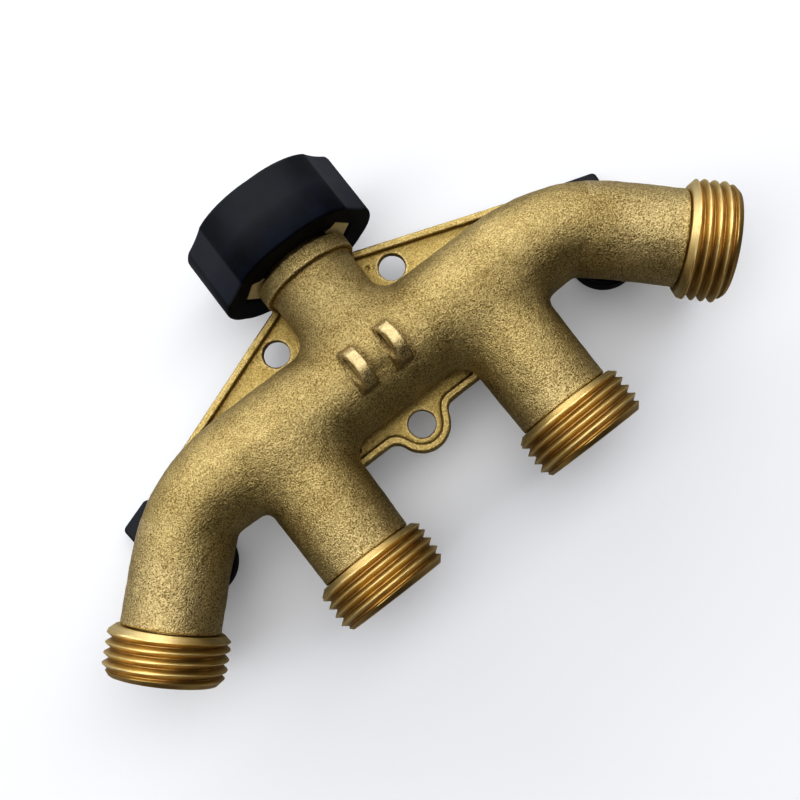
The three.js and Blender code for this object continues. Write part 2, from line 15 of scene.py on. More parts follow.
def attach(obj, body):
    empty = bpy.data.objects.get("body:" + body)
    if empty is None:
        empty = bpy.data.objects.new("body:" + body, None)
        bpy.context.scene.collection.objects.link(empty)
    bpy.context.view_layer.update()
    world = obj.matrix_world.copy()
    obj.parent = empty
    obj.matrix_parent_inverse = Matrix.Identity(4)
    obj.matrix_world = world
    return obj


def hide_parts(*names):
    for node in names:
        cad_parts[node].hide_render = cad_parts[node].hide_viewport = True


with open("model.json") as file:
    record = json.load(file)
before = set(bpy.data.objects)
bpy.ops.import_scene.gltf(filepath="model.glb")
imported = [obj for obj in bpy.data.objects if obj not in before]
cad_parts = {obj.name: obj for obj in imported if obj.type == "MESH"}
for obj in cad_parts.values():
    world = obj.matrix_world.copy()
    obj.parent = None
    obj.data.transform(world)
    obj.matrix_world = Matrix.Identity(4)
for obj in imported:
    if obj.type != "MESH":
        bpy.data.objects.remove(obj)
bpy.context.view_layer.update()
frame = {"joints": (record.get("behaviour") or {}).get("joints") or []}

# ---- Driving dimensions, in millimetres, as in the CAD ----

MM = 0.001
FINE = 1.0  # multiplies every mesh step while trying things out

THREAD_RADIUS = 13.5
THREAD_PITCH = 25.4 / 11.5
THREAD_DEPTH = 1.25

TUBE_RADIUS = 11.9
TUBE_BORE = 8.0
LEG_RADIUS = 11.0  # at a leg's end
LEG_TAPER = (14.0, 16.0)  # an outer leg has thinned fully this far past the bend, over this length
INNER_TAPER = (22.0, 0.4)  # an inner leg thins over this length, by this much
INNER_LEG_X = 27.5
BEND_X = 52.1
BEND_ANGLE = math.pi / 4
BEND_INSIDE, BEND_OUTSIDE = 14.0, 40.0  # bend radii of an elbow's two sides
BEND_MIDDLE = (BEND_INSIDE + BEND_OUTSIDE) / 2
INNER_BALL = 18.6
OUTER_BALL = 13.0
NECK_RADIUS = 10.4
NECK_BORE = 6.5
COLLAR = (11.9, 24.6, 28.5)  # radius, from, to
SPIGOT = (9.2, 24.0, 36.4)
SNAP_GROOVE = (7.9, 33.2, 35.1)

WEB = (-8.5, -6.0)  # bottom, top
RIM = (-10.0, -4.5)
RIM_WIDTH = 1.8
UPPER_EDGE_AT_ZERO = 29.6
UPPER_EDGE_SLOPE = 0.365
UPPER_END = 62.0  # the upper webs end where |x| + y reaches this
LOWER_EDGE_Y = -16.2
LOBE_RADIUS = 6.5
LOBE_FILLET = 2.6
SCREW_HOLE = 3.2
UPPER_HOLE = (16.9, 17.1)
LOWER_HOLE = (0.0, -16.5)
LUGS = (-3.45, 5.75)  # where along the manifold the lugs' tops are
LUG_CENTRE = (-0.6, 11.3)  # along the inlet's axis, and up
LUG_OUTER, LUG_WIDTH = 5.2, 2.4
LUG_PINCH = 0.02  # how fast a lug narrows away from its middle
LUG_DRAFT = (0.5, 0.03)  # how much a lug's left and right flanks widen downwards
LUG_EYE = (3.1, 1.1, 13.5)  # half its length, half its height, and how high its middle is
LUG_EYE_REACH = 0.9  # how far past the flanks the eye is cut
LEG_FILLET, CROTCH_TIGHTER = 4.5, 2.2  # and how much tighter it is between two legs of a side
NECK_FILLET, COLLAR_FILLET, BOSS_FILLET, WEB_FILLET = 4.5, 0.7, 1.6, 1.0
PARTING_LINE = (0.10, 0.35)  # height, width

BALL_RADIUS = 8.3
BALL_BORE = 5.5
CHAMBER_RADIUS, CHAMBER_START = 9.3, -8.0
PORT_BORE, PORT_START = 5.6, -14.0
CAST_END = 14.2
SHOULDER = 15.8
OUTLET_END = 25.2
OUTLET_BORE = 6.5
CONE_START = 12.0  # radius at the tailpiece's back edge
BAND_INSET, BAND_WIDTH, BAND_SLOPE = 0.08, 0.8, 1.3  # the smooth band before the first thread
CHAMFER_INSET, CHAMFER_SLOPE = 0.4, 0.85
BOSS_RADIUS, BOSS_BOTTOM, BOSS_TOP, BOSS_DRAFT = 6.2, -15.9, -5.0, 0.03
STEM_RADIUS, STEM_FLANGE, STEM_SQUARE = 3.2, 4.0, 4.2
STEM_SPAN, FLANGE_SPAN, SQUARE_SPAN = (-16.2, -9.2), (-10.2, -9.0), (-19.3, -15.0)  # bottom, top
STEM_RECESS = (4.4, -11.4)
STEM_GROOVE = (1.9, -14.45, -12.75)
STEM_BORE_TOP = -15.3
TONGUE_HALF, TONGUE_SPAN = 2.5, (-9.5, -6.6)
BALL_SLOT_WIDTH, BALL_SLOT_FLOOR = 3.0, -6.3

HANDLE_TOP, HANDLE_BOTTOM = -16.5, -22.0
HUB, REACH, TIP, HANDLE_CORNER = 8.5, 19.6, 4.75, 1.0
SKIRT_INNER, SKIRT_TOP = 6.5, -14.6
SOCKET_HALF, SOCKET_FLOOR = 2.4, -19.6
SCREW_SEAT_RADIUS, SCREW_SEAT = 3.3, -20.4
SCREW_HEAD, SCREW_SHAFT, SCREW_TIP, SCREW_BOTTOM = 2.9, 1.25, -15.6, -21.7
SCREW_DOME, SCREW_SLOT, SCREW_SLOT_DEPTH = 7.0, 0.4, 0.5
STOP_HALF = math.radians(10)
STOP_PLAY = math.radians(2)
STOP_START, STOP_REACH, STOP_TOP, STOP_BOTTOM = 3.0, 8.2, -7.0, -16.2

NUT_BACK, NUT_FRONT = 28.95, 44.8
NUT_LOBE, NUT_DISH, NUT_FALL, NUT_FLAT_DISH = 20.22, 0.35, 0.5, 0.3
NUT_LOBE_HALF, NUT_TURN = math.radians(45.4), math.radians(3.4)
NUT_WALL = 1.65
NUT_HOLE = 12.4
NOTCH = [(14.8, 51), (15.0, 82), (12.7, 106)]  # corners of a back notch: radius, degrees from the top
KEY_BACK, KEY_INNER = 29.15, 10.5
INSERT_OUTER, INSERT_BACK, INSERT_WALL, INSERT_HOLE, INSERT_FRONT = 15.6, 30.9, 2.1, 9.6, 44.2
INSERT_ROOT = THREAD_RADIUS + 0.2
WASHER = (6.8, 12.1, 36.7, 39.2)  # inner, outer, from, to
SNAP_OUTER, SNAP_GAP = 11.0, math.radians(12)  # the gap is half the ring's opening
GAP = 0.3

# name, side, on an outer leg, handle's heading at rest and when open, stop rib's heading
OUTLETS = [
    ("outer_left", -1, True, 108.2, 45, 270),
    ("inner_left", -1, False, 90, 90, 225),
    ("inner_right", 1, False, 90, 90, 315),
    ("outer_right", 1, True, 71.8, 135, 270),
]

# ---- Where things are, from the frame ----

joints = {joint["name"]: joint for joint in frame["joints"]}


def hinge_point(name):
    return Vector(joints[name]["pos_m"])


inner_middle = (hinge_point("valve_turn_inner_left") + hinge_point("valve_turn_inner_right")) / 2
ORIGIN = inner_middle + Vector((0, INNER_BALL * MM, 0))
CASTING_FRAME = Matrix.Translation(ORIGIN)

# ---- Distances to shapes ----
# A shape is a function from a point to its distance, negative inside. Shapes join, meet and cut
# each other with a rounding radius, so every inside corner has its fillet and every edge its round.


def fillet(a, b, radius):
    """Both shapes, with a fillet where they meet."""
    return np.maximum(radius, np.minimum(a, b)) - np.hypot(
        np.maximum(radius - a, 0), np.maximum(radius - b, 0)
    )


def meet(a, b, radius):
    """What both shapes share, with its edge rounded."""
    return -fillet(-a, -b, radius)


def cut(a, b, radius):
    return meet(a, -b, radius)


def slab(t, low, high):
    return np.abs(t - (low + high) / 2) - (high - low) / 2


def cylinder(radial, axial, radius, low, high, edge=0.3):
    return meet(radial - radius, slab(axial, low, high), edge)


def wrapped(angle):
    """The angle brought between -pi and pi."""
    return (angle + math.pi) % (2 * math.pi) - math.pi


# ---- Meshes ----

SLAB = 12  # grid layers evaluated at a time


def surface_net(distance, low, high, step):
    """Vertices and outward quads of the closed surface where distance(x, y, z) is zero."""
    axes = [np.arange(a - 2 * step, b + 3 * step, step, dtype=np.float32) for a, b in zip(low, high)]
    field = np.empty([len(a) for a in axes], np.float32)
    y, z = axes[1][None, :, None], axes[2][None, None, :]
    for start in range(0, len(axes[0]), SLAB):
        x = axes[0][start : start + SLAB, None, None]
        field[start : start + SLAB] = distance(x, y, z)
    inside = field < 0
    size = np.array(field.shape)
    quads, crossings = [], []
    for axis in range(3):
        near, far = [slice(None)] * 3, [slice(None)] * 3
        near[axis], far[axis] = slice(0, -1), slice(1, None)
        near, far = tuple(near), tuple(far)
        where = np.array(np.nonzero(inside[near] != inside[far])).T
        here = field[near][tuple(where.T)]
        there = field[far][tuple(where.T)]
        point = where.astype(np.float64)
        point[:, axis] += here / (here - there)
        b, c = (axis + 1) % 3, (axis + 2) % 3
        corners = np.repeat(where[:, None, :], 4, axis=1)
        corners[:, (0, 3), b] -= 1
        corners[:, (0, 1), c] -= 1
        cells = (corners[..., 0] * size[1] + corners[..., 1]) * size[2] + corners[..., 2]
        cells[here > 0] = cells[here > 0][:, ::-1]
        quads.append(cells)
        crossings.append(point)
    quads = np.concatenate(quads)
    crossings = np.repeat(np.concatenate(crossings), 4, axis=0)
    _, index = np.unique(quads.ravel(), return_inverse=True)
    count = np.bincount(index)
    middle = np.stack([np.bincount(index, crossings[:, k]) / count for k in range(3)], axis=1)
    corner = np.array([a[0] for a in axes])
    vertices = corner + middle * step
    return settle(distance, vertices, step), index.reshape(-1, 4)


def gradient(distance, p, reach=0.03):
    parts = []
    for k in range(3):
        ahead, behind = p.copy(), p.copy()
        ahead[:, k] += reach
        behind[:, k] -= reach
        parts.append(distance(*ahead.T) - distance(*behind.T))
    slope = np.stack(parts, axis=1) / (2 * reach)
    return slope / np.maximum(np.linalg.norm(slope, axis=1, keepdims=True), 0.3)


def settle(distance, p, step, rounds=3):
    """Moves points onto the surface, along its slope."""
    for _ in range(rounds):
        move = np.clip(distance(*p.T), -0.5 * step, 0.5 * step)
        p = p - gradient(distance, p) * move[:, None]
    return p


def weld(vertices, faces, near=1e-4):
    """Joins vertices that share a place and drops what collapses."""
    _, first, index = np.unique(
        np.round(vertices / near).astype(np.int64), axis=0, return_index=True, return_inverse=True
    )
    index = index.ravel()
    kept = []
    for face in faces:
        ring = []
        for corner in index[list(face)]:
            if corner not in ring:
                ring.append(int(corner))
        if len(ring) > 2:
            kept.append(ring)
    return vertices[first], kept


def ring_points(radii, at, columns):
    """A ring about the local Y axis: radii and at may be numbers or one value a column."""
    turn = np.arange(columns) * 2 * math.pi / columns
    radii = np.broadcast_to(radii, columns)
    return np.stack([radii * np.sin(turn), np.broadcast_to(at, columns), radii * np.cos(turn)], axis=1)


def lathe(profile, columns, closed=True):
    """Rings swept about local Y from [radius, distance] points, listed anticlockwise."""
    rings = [ring_points(radius, at, columns) for radius, at in profile]
    count = len(rings)
    faces = []
    for i in range(count if closed else count - 1):
        a, b = i * columns, (i + 1) % count * columns
        for j in range(columns):
            k = (j + 1) % columns
            faces.append((a + j, a + k, b + k, b + j))
    return np.concatenate(rings), faces


def rounded(profile, radius, steps=3):
    """A closed profile with each corner rounded. A corner may carry its own radius."""
    points = []
    count = len(profile)
    for i in range(count):
        corner = np.array(profile[i][:2], float)
        before = np.array(profile[i - 1][:2], float) - corner
        after = np.array(profile[(i + 1) % count][:2], float) - corner
        own = profile[i][2] if len(profile[i]) > 2 else radius
        a, b = before / np.linalg.norm(before), after / np.linalg.norm(after)
        half = math.acos(np.clip(a @ b, -1, 1)) / 2
        room = 0.45 * min(np.linalg.norm(before), np.linalg.norm(after))
        back = min(own / math.tan(half), room) if half < 1.5 else 0
        if back < 1e-3:
            points.append(tuple(corner))
            continue
        start, end = corner + a * back, corner + b * back
        for k in range(steps + 1):
            t = k / steps
            points.append(tuple((1 - t) ** 2 * start + 2 * t * (1 - t) * corner + t**2 * end))
    return points


def threaded_tube(radius_at, start, end, columns, rows=14, inward=False):
    """An open tube about local Y whose rows follow a right-hand helix of the thread's pitch."""
    turn = np.arange(columns) / columns
    count = int(math.ceil((end - start) / THREAD_PITCH * rows)) + rows + 2
    at = start + THREAD_PITCH * ((np.arange(count)[:, None] - rows - 1) / rows + turn[None, :])
    at = np.clip(at, start, end)
    radius = radius_at(turn[None, :] * 2 * math.pi, at)
    points = np.stack(
        [radius * np.sin(turn * 2 * math.pi), at, radius * np.cos(turn * 2 * math.pi)], axis=2
    )
    faces = []
    for i in range(count - 1):
        for j in range(columns):
            k = (j + 1) % columns
            lift = rows if k == 0 else 0
            if i + 1 + lift >= count:
                continue
            near, far = i * columns + j, (i + lift) * columns + k
            quad = [near, near + columns, far + columns, far]
            faces.append(quad if inward else quad[::-1])
    return points.reshape(-1, 3), faces


def add_piece(name, vertices, faces, material, body, slot, nodes, place=None, sharp=None, marks=None):
    """One visible piece: its mesh in metres, on its CAD body, standing for its CAD nodes.

    Its shape is kept in the casting's frame, wherever it was made, so that no two pieces of a kind
    have the same blotches. Where each point was along and about the piece's own Y axis is kept too.
    """
    vertices = np.asarray(vertices)
    marks = dict(marks or {})
    marks["turned_radius"] = np.hypot(vertices[:, 0], vertices[:, 2])
    marks["turned_along"] = vertices[:, 1]
    into = np.array(CASTING_FRAME.inverted() @ (place or CASTING_FRAME))
    placed = vertices * MM @ into[:3, :3].T + into[:3, 3]
    mesh = bpy.data.meshes.new(name)
    mesh.from_pydata(placed.tolist(), [], [list(map(int, f)) for f in faces])
    mesh.validate()
    for mark, values in marks.items():
        attribute = mesh.attributes.new(mark, "FLOAT", "POINT")
        attribute.data.foreach_set("value", np.asarray(values, np.float32))
    mesh.shade_smooth()
    if sharp:
        mesh.set_sharp_from_angle(angle=math.radians(sharp))
    mesh.materials.append(material)
    piece = bpy.data.objects.new(name, mesh)
    bpy.context.scene.collection.objects.link(piece)
    piece.matrix_world = CASTING_FRAME
    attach(piece, body)
    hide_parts(*nodes)


def surface_marks(distance, p, reach):
    """How hollow and how edge-like the surface is at each vertex, from 0 to 1."""
    normal = gradient(distance, p)
    out = p + normal * reach
    back = p - normal * reach * 0.5
    hollow = np.clip(1 - distance(*out.T) / reach, 0, 1)
    edge = np.clip(1 + distance(*back.T) / (reach * 0.5), 0, 1)
    return {"hollow": hollow, "edge": edge}


def thread_marks(vertices, root):
    """Hollow in a thread's valleys: 1 at its root radius."""
    radius = np.hypot(vertices[:, 0], vertices[:, 2])
    hollow = np.clip(1 - np.abs(radius - root) / THREAD_DEPTH, 0, 1)
    return {"hollow": hollow, "edge": np.zeros(len(vertices))}


def lattice_noise(p, cell, seed):
    """Smooth random values from -1 to 1 over space, the same each run."""
    table = np.random.default_rng(seed).uniform(-1, 1, 4096)
    scaled = p / cell
    base = np.floor(scaled).astype(np.int64)
    part = scaled - base
    part = part * part * (3 - 2 * part)
    total = np.zeros(len(p))
    for corner in range(8):
        offset = np.array([corner & 1, corner >> 1 & 1, corner >> 2 & 1])
        weight = np.prod(np.where(offset, part, 1 - part), axis=1)
        key = (base + offset) @ np.array([73856093, 19349663, 83492791])
        total += weight * table[key % 4096]
    return total


# ---- Materials ----


class Shader:
    """A material's node tree, with short calls to add to it."""

    def __init__(self, name):
        self.material = bpy.data.materials.new(name)
        self.material.use_nodes = True
        self.tree = self.material.node_tree
        self.tree.nodes.clear()
        output = self.tree.nodes.new("ShaderNodeOutputMaterial")
        self.surface = self.tree.nodes.new("ShaderNodeBsdfPrincipled")
        self.tree.links.new(self.surface.outputs[0], output.inputs["Surface"])
        self.place = self.add("ShaderNodeTexCoord").outputs["Object"]

    def add(self, kind, inputs=None, **settings):
        node = self.tree.nodes.new(kind)
        for key, value in settings.items():
            setattr(node, key, value)
        for key, value in (inputs or {}).items():
            self.feed(node.inputs[key], value)
        return node

    def feed(self, socket, value):
        if isinstance(value, bpy.types.NodeSocket):
            self.tree.links.new(value, socket)
        else:
            socket.default_value = value

    def calc(self, operation, *values):
        node = self.add("ShaderNodeMath", operation=operation)
        for socket, value in zip(node.inputs, values):
            self.feed(socket, value)
        return node.outputs[0]

    def noise(self, size, detail=3.0, rough=0.55, vector=None):
        """Noise whose features are about size millimetres across."""
        inputs = {"Vector": vector or self.place, "Scale": 1 / (size * MM)}
        inputs |= {"Detail": detail, "Roughness": rough}
        return self.add("ShaderNodeTexNoise", inputs).outputs["Fac"]

    def cells(self, size):
        """Cells about size millimetres across, with a colour and a distance of their own."""
        inputs = {"Vector": self.place, "Scale": 1 / (size * MM)}
        return self.add("ShaderNodeTexVoronoi", inputs, feature="F1")

    def mark(self, name):
        return self.add("ShaderNodeAttribute", attribute_name=name).outputs["Fac"]

    def ramp(self, value, low, high):
        """The value stretched so that low gives 0 and high gives 1."""
        inputs = {"Value": value, "From Min": low, "From Max": high}
        return self.add("ShaderNodeMapRange", inputs, clamp=True).outputs["Result"]

    def mix(self, share, a, b):
        node = self.add("ShaderNodeMix", data_type="RGBA")
        self.feed(node.inputs[0], share)
        self.feed(node.inputs[6], a if isinstance(a, bpy.types.NodeSocket) else (*a, 1))
        self.feed(node.inputs[7], b if isinstance(b, bpy.types.NodeSocket) else (*b, 1))
        return node.outputs[2]

    def bump(self, height, distance, strength=1.0, under=None):
        inputs = {"Height": height, "Distance": distance * MM, "Strength": strength}
        if under:
            inputs["Normal"] = under
        return self.add("ShaderNodeBump", inputs).outputs[0]

    def turned_place(self):
        """Coordinates that are the same all the way round the piece's own axis, for lathe marks."""
        inputs = {0: self.mark("turned_radius"), 1: self.mark("turned_along")}
        combined = self.add("ShaderNodeCombineXYZ", inputs).outputs[0]
        return self.add("ShaderNodeVectorMath", {0: combined, "Scale": MM}, operation="SCALE").outputs[0]

    def finish(self, **inputs):
        for key, value in inputs.items():
            name = key.replace("_", " ").title().replace("Ior", "IOR")
            self.feed(self.surface.inputs[name], value)
        return self.material


def cast_brass():
    """Sand-blasted cast brass: olive gold, with painted shade in brown in the hollows and on the lugs'
    flanks, brighter along edges bared by wear.
    """
    s = Shader("cast_brass")
    grain = s.noise(0.36, detail=3, rough=0.62)
    speck = s.cells(0.36)
    coarse = s.noise(1.3, detail=2)
    blotch = s.noise(11, detail=3, rough=0.6)
    web = s.mark("web")
    tone = s.calc("ADD", s.calc("MULTIPLY", grain, 0.8), s.calc("MULTIPLY", blotch, 0.2))
    colour = s.mix(s.ramp(tone, 0.37, 0.62), (0.190, 0.133, 0.045), (0.605, 0.492, 0.248))
    colour = s.mix(s.calc("MULTIPLY", web, 0.30), colour, (0.66, 0.50, 0.17))
    # painted shade: the hollows and the lugs' steep flanks are darkened to brown, more where the
    # blotches fall
    brown = s.calc("MULTIPLY", s.ramp(s.mark("hollow"), 0.1, 0.9), s.ramp(blotch, 0.25, 0.6))
    colour = s.mix(s.calc("MULTIPLY", brown, 0.75), colour, (0.13, 0.075, 0.028))
    glint = s.ramp(speck.outputs["Color"], 0.84, 0.98)
    colour = s.mix(s.calc("MULTIPLY", glint, 0.25), colour, (0.90, 0.76, 0.44))
    lighter_edges = s.calc("MULTIPLY", s.ramp(s.mark("edge"), 0.25, 0.8), s.ramp(grain, 0.35, 0.6))
    lighter_edges = s.calc("MULTIPLY", lighter_edges, 0.6)
    # on the casting this mark holds only the lugs' bare tops, from wear
    wear_and_painted_sheen = s.mark("wear_and_painted_sheen")
    bare = s.calc("MAXIMUM", lighter_edges, s.calc("MULTIPLY", wear_and_painted_sheen, 0.42))
    colour = s.mix(bare, colour, (0.84, 0.70, 0.44))
    rough = s.calc("ADD", 0.36, s.calc("MULTIPLY", grain, 0.22))
    rough = s.calc("SUBTRACT", rough, s.calc("MULTIPLY", lighter_edges, 0.2))
    level = s.calc("SUBTRACT", 1.0, s.calc("MULTIPLY", wear_and_painted_sheen, 0.6))
    bump = s.bump(coarse, 0.10, 0.5)
    bump = s.bump(s.calc("MULTIPLY", grain, level), 0.22, 1.0, bump)
    bump = s.bump(s.calc("MULTIPLY", speck.outputs["Distance"], level), 0.06, 0.6, bump)
    return s.finish(base_color=colour, metallic=1.0, roughness=rough, normal=bump)


def turned_brass():
    """Satin turned brass with fine lathe lines, painted brown shade in the thread's valleys, painted
    highlights along its crests, and a bright, less metallic painted reflection on the key's back faces.
    """
    s = Shader("turned_brass")
    lathe_place = s.turned_place()
    lines = s.noise(0.12, detail=2, rough=0.6, vector=lathe_place)
    bands = s.noise(0.9, detail=2, vector=lathe_place)
    blotch = s.noise(5, detail=3)
    hollow = s.mark("hollow")
    colour = s.mix(s.ramp(blotch, 0.3, 0.7), (0.60, 0.44, 0.17), (0.76, 0.60, 0.29))
    colour = s.mix(s.calc("MULTIPLY", s.ramp(bands, 0.45, 0.75), 0.35), colour, (0.50, 0.34, 0.12))
    # painted shade: the thread's valleys darkened to brown
    valley_shade = s.calc("MULTIPLY", s.ramp(hollow, 0.25, 0.95), s.ramp(blotch, 0.15, 0.5))
    colour = s.mix(s.calc("MULTIPLY", valley_shade, 0.66), colour, (0.24, 0.12, 0.035))
    # painted highlight along the thread's crests
    crest = s.calc("MULTIPLY", s.ramp(hollow, 0.22, 0.0), s.ramp(lines, 0.3, 0.6))
    colour = s.mix(s.calc("MULTIPLY", crest, 0.5), colour, (0.94, 0.82, 0.52))
    # painted reflection: the key's back faces made bright and less metallic
    painted_reflection = s.mark("wear_and_painted_sheen")
    colour = s.mix(painted_reflection, colour, (0.98, 0.90, 0.66))
    metal = s.calc("SUBTRACT", 1.0, s.calc("MULTIPLY", painted_reflection, 0.75))
    rough = s.calc("ADD", 0.33, s.calc("MULTIPLY", lines, 0.16))
    bump = s.bump(lines, 0.035, 0.7)
    bump = s.bump(s.noise(0.7, detail=3), 0.03, 0.6, bump)
    return s.finish(base_color=colour, metallic=metal, roughness=rough, normal=bump)


def black_plastic():
    """Moulded black plastic, with a painted reflection lightening the nut's flats, lighter along its
    edges, with painted highlight lines on the nut's corners, duller where it is matt.
    """
    s = Shader("black_plastic")
    fine = s.noise(0.35, detail=3, rough=0.6)
    smear = s.noise(7, detail=4, rough=0.65)
    colour = s.mix(s.ramp(smear, 0.35, 0.7), (0.0022, 0.0032, 0.0062), (0.0065, 0.0100, 0.0190))
    # lighter edges; on the nut's corners this includes painted highlight lines
    lighter_edges = s.calc("MULTIPLY", s.ramp(s.mark("edge"), 0.2, 0.75), s.ramp(fine, 0.35, 0.6))
    # painted reflection: the nut's flats made lighter
    colour = s.mix(s.calc("MULTIPLY", s.mark("wear_and_painted_sheen"), 0.55), colour, (0.050, 0.056, 0.072))
    colour = s.mix(s.calc("MULTIPLY", lighter_edges, 0.35), colour, (0.075, 0.082, 0.095))
    rough = s.calc("ADD", 0.36, s.calc("MULTIPLY", smear, 0.24))
    shine = s.calc("SUBTRACT", 0.34, s.calc("MULTIPLY", s.mark("matt"), 0.26))
    bump = s.bump(fine, 0.03, 0.6)
    bump = s.bump(s.noise(2.5, detail=2), 0.05, 0.35, bump)
    return s.finish(base_color=colour, roughness=rough, normal=bump, specular_ior_level=shine)


def plain_finish(name, dark, light, metallic, rough, grain_size, bump_height):
    """A small part's finish: two close tones, uneven roughness and a fine grain."""
    s = Shader(name)
    fine = s.noise(grain_size, detail=3)
    wide = s.noise(grain_size * 12, detail=2)
    colour = s.mix(s.ramp(wide, 0.3, 0.7), dark, light)
    uneven = s.calc("ADD", rough, s.calc("MULTIPLY", fine, 0.12))
    return s.finish(
        base_color=colour, metallic=metallic, roughness=uneven, normal=s.bump(fine, bump_height, 0.5)
    )


CAST_BRASS = cast_brass()
TURNED_BRASS = turned_brass()
BLACK_PLASTIC = black_plastic()
BLACK_RUBBER = plain_finish("black_rubber", (0.010,) * 3, (0.022, 0.021, 0.020), 0.0, 0.62, 0.3, 0.02)
WHITE_PTFE = plain_finish("white_ptfe", (0.74, 0.74, 0.71), (0.84, 0.84, 0.82), 0.0, 0.32, 0.4, 0.01)
CHROME = plain_finish("chrome_plate", (0.66, 0.66, 0.67), (0.76, 0.76, 0.77), 1.0, 0.06, 0.5, 0.004)
SCREW_STEEL = plain_finish("screw_steel", (0.42, 0.42, 0.41), (0.58, 0.58, 0.57), 1.0, 0.26, 0.2, 0.01)

# ---- Casting ----

LEG_END = OUTER_BALL + CAST_END
INNER_END = INNER_BALL + CAST_END
HALF_ROOT = math.sqrt(0.5)
OUTER_CENTRE = (BEND_X + OUTER_BALL * HALF_ROOT, -OUTER_BALL * HALF_ROOT)


def outer_leg_place(x, y):
    """Distance along an outer leg from the bend point, and across it."""
    return (x - BEND_X - y) * HALF_ROOT, (x - BEND_X + y) * HALF_ROOT


def across_bend(x, y, bend):
    """Signed distance, in plan, outwards from a line that bends from the manifold to a leg."""
    reach = bend * math.tan(BEND_ANGLE / 2)
    along, across = outer_leg_place(x, y)
    dx = x - BEND_X + reach
    away = np.hypot(dx, y + bend) - bend
    away = np.where(along > reach, across, away)
    return np.where(dx < 0, y, away)


def tube_shell(x, y, z):
    """The manifold tube and the outer leg. Round the bend, each side follows its own bend radius."""
    middle = across_bend(x, y, BEND_MIDDLE)
    out = middle / np.maximum(np.hypot(middle, z), 0.01)
    across = across_bend(x, y, BEND_MIDDLE + (BEND_OUTSIDE - BEND_MIDDLE) * out)
    along, _ = outer_leg_place(x, y)
    taper = np.clip((LEG_TAPER[0] - along) / LEG_TAPER[1], 0, 1)
    radial = np.hypot(across, z) - LEG_RADIUS - (TUBE_RADIUS - LEG_RADIUS) * taper
    return meet(radial, along - LEG_END, 0.3)


def inner_leg_shell(x, y, z):
    taper = np.clip((INNER_END + y) / INNER_TAPER[0], 0, 1)
    radial = np.hypot(x - INNER_LEG_X, z) - LEG_RADIUS - INNER_TAPER[1] * taper
    return meet(radial, slab(-y, 0, INNER_END), 0.3)


def stem_boss(x, y, z, centre, heading):
    """A boss under a leg, with the rib that stops the handle."""
    px, py = x - centre[0], y - centre[1]
    taper = (z - BOSS_BOTTOM) * BOSS_DRAFT
    boss = cylinder(np.hypot(px, py) - taper, z, BOSS_RADIUS, BOSS_BOTTOM, BOSS_TOP, 0.4)
    out = px * math.cos(heading) + py * math.sin(heading)
    side = py * math.cos(heading) - px * math.sin(heading)
    half = STOP_REACH * math.tan(STOP_HALF) * 0.9
    rib = meet(slab(out, STOP_START, STOP_REACH), np.abs(side) - half, 0.35)
    rib = meet(rib, slab(z, STOP_BOTTOM, STOP_TOP), 0.35)
    return fillet(boss, rib, 0.4)


def flange_webs(x, y, z):
    """The flat webs with their raised rims, before the screw holes."""
    parts = []
    upper = (y + UPPER_EDGE_SLOPE * x - UPPER_EDGE_AT_ZERO) / math.hypot(1, UPPER_EDGE_SLOPE)
    upper = meet(upper, (x + y - UPPER_END) * HALF_ROOT, 1.2)
    lobe = np.hypot(x - LOWER_HOLE[0], y - LOWER_HOLE[1]) - LOBE_RADIUS
    lower = fillet(LOWER_EDGE_Y - y, lobe, LOBE_FILLET)
    for edge, ends in ((upper, -y), (lower, np.maximum(y, x - INNER_LEG_X))):
        web = meet(edge, slab(z, *WEB), 0.3)
        rim = meet(slab(edge, -RIM_WIDTH, 0), slab(z, *RIM), 0.5)
        parts.append(np.maximum(fillet(web, rim, 0.45), ends))
    return np.minimum(*parts)


def add_ring_lug(shell, x, y, z, middle):
    """Stands a ring lug across the top of the manifold, with an oval eye through it."""
    cy, cz = LUG_CENTRE
    around = np.hypot(y - cy, z - cz)
    down = cz + LUG_OUTER - z
    narrowed = LUG_WIDTH / 2 - LUG_PINCH * (y - cy) ** 2
    left = middle - x - narrowed - LUG_DRAFT[0] * down
    right = x - middle - narrowed - LUG_DRAFT[1] * down
    disc = meet(around - LUG_OUTER, meet(left, right, 0.2), 0.35)
    length, height, middle_z = LUG_EYE
    eye = (np.hypot((y - cy) / length, (z - middle_z) / height) - 1) * height
    eye = np.maximum(eye, np.maximum(left, right) - LUG_EYE_REACH)
    return cut(fillet(shell, disc, 0.4), eye, 0.3)


def casting_hollows(x, y, z):
    """Everything bored or cored out of the casting. x is measured outwards from the middle."""
    radial_neck = np.hypot(x, z)
    along, across = outer_leg_place(x, y)
    tube = np.hypot(across_bend(x, y, BEND_MIDDLE), z) - TUBE_BORE
    bores = np.maximum(tube, along + CHAMBER_START)
    bores = np.minimum(bores, cylinder(radial_neck, y, NECK_BORE, 0, SPIGOT[2] + 3, 0.01))
    for radial, at, centre in (
        (np.hypot(across, z), along - OUTER_BALL, OUTER_CENTRE),
        (np.hypot(x - INNER_LEG_X, z), -y - INNER_BALL, (INNER_LEG_X, -INNER_BALL)),
    ):
        port = cylinder(radial, at, PORT_BORE, PORT_START, CHAMBER_START + 1, 0.01)
        chamber = cylinder(radial, at, CHAMBER_RADIUS, CHAMBER_START, CAST_END + 3, 0.3)
        around = np.hypot(x - centre[0], y - centre[1])
        recess = cylinder(around, z, STEM_RECESS[0], STEM_RECESS[1], 0, 0.2)
        hole = cylinder(around, z, STEM_RADIUS + GAP, BOSS_BOTTOM - 3, 0, 0.01)
        for shape in (port, chamber, recess, hole):
            bores = np.minimum(bores, shape)
    return bores


PITS = [  # sand pits in the webs: x, y, z, radius
    (-15.1, -12.6, -6.0, 0.55),
    (-11.4, -12.7, -5.9, 0.4),
    (12.3, 20.4, -6.0, 0.5),
    (13.4, 19.6, -5.9, 0.35),
]


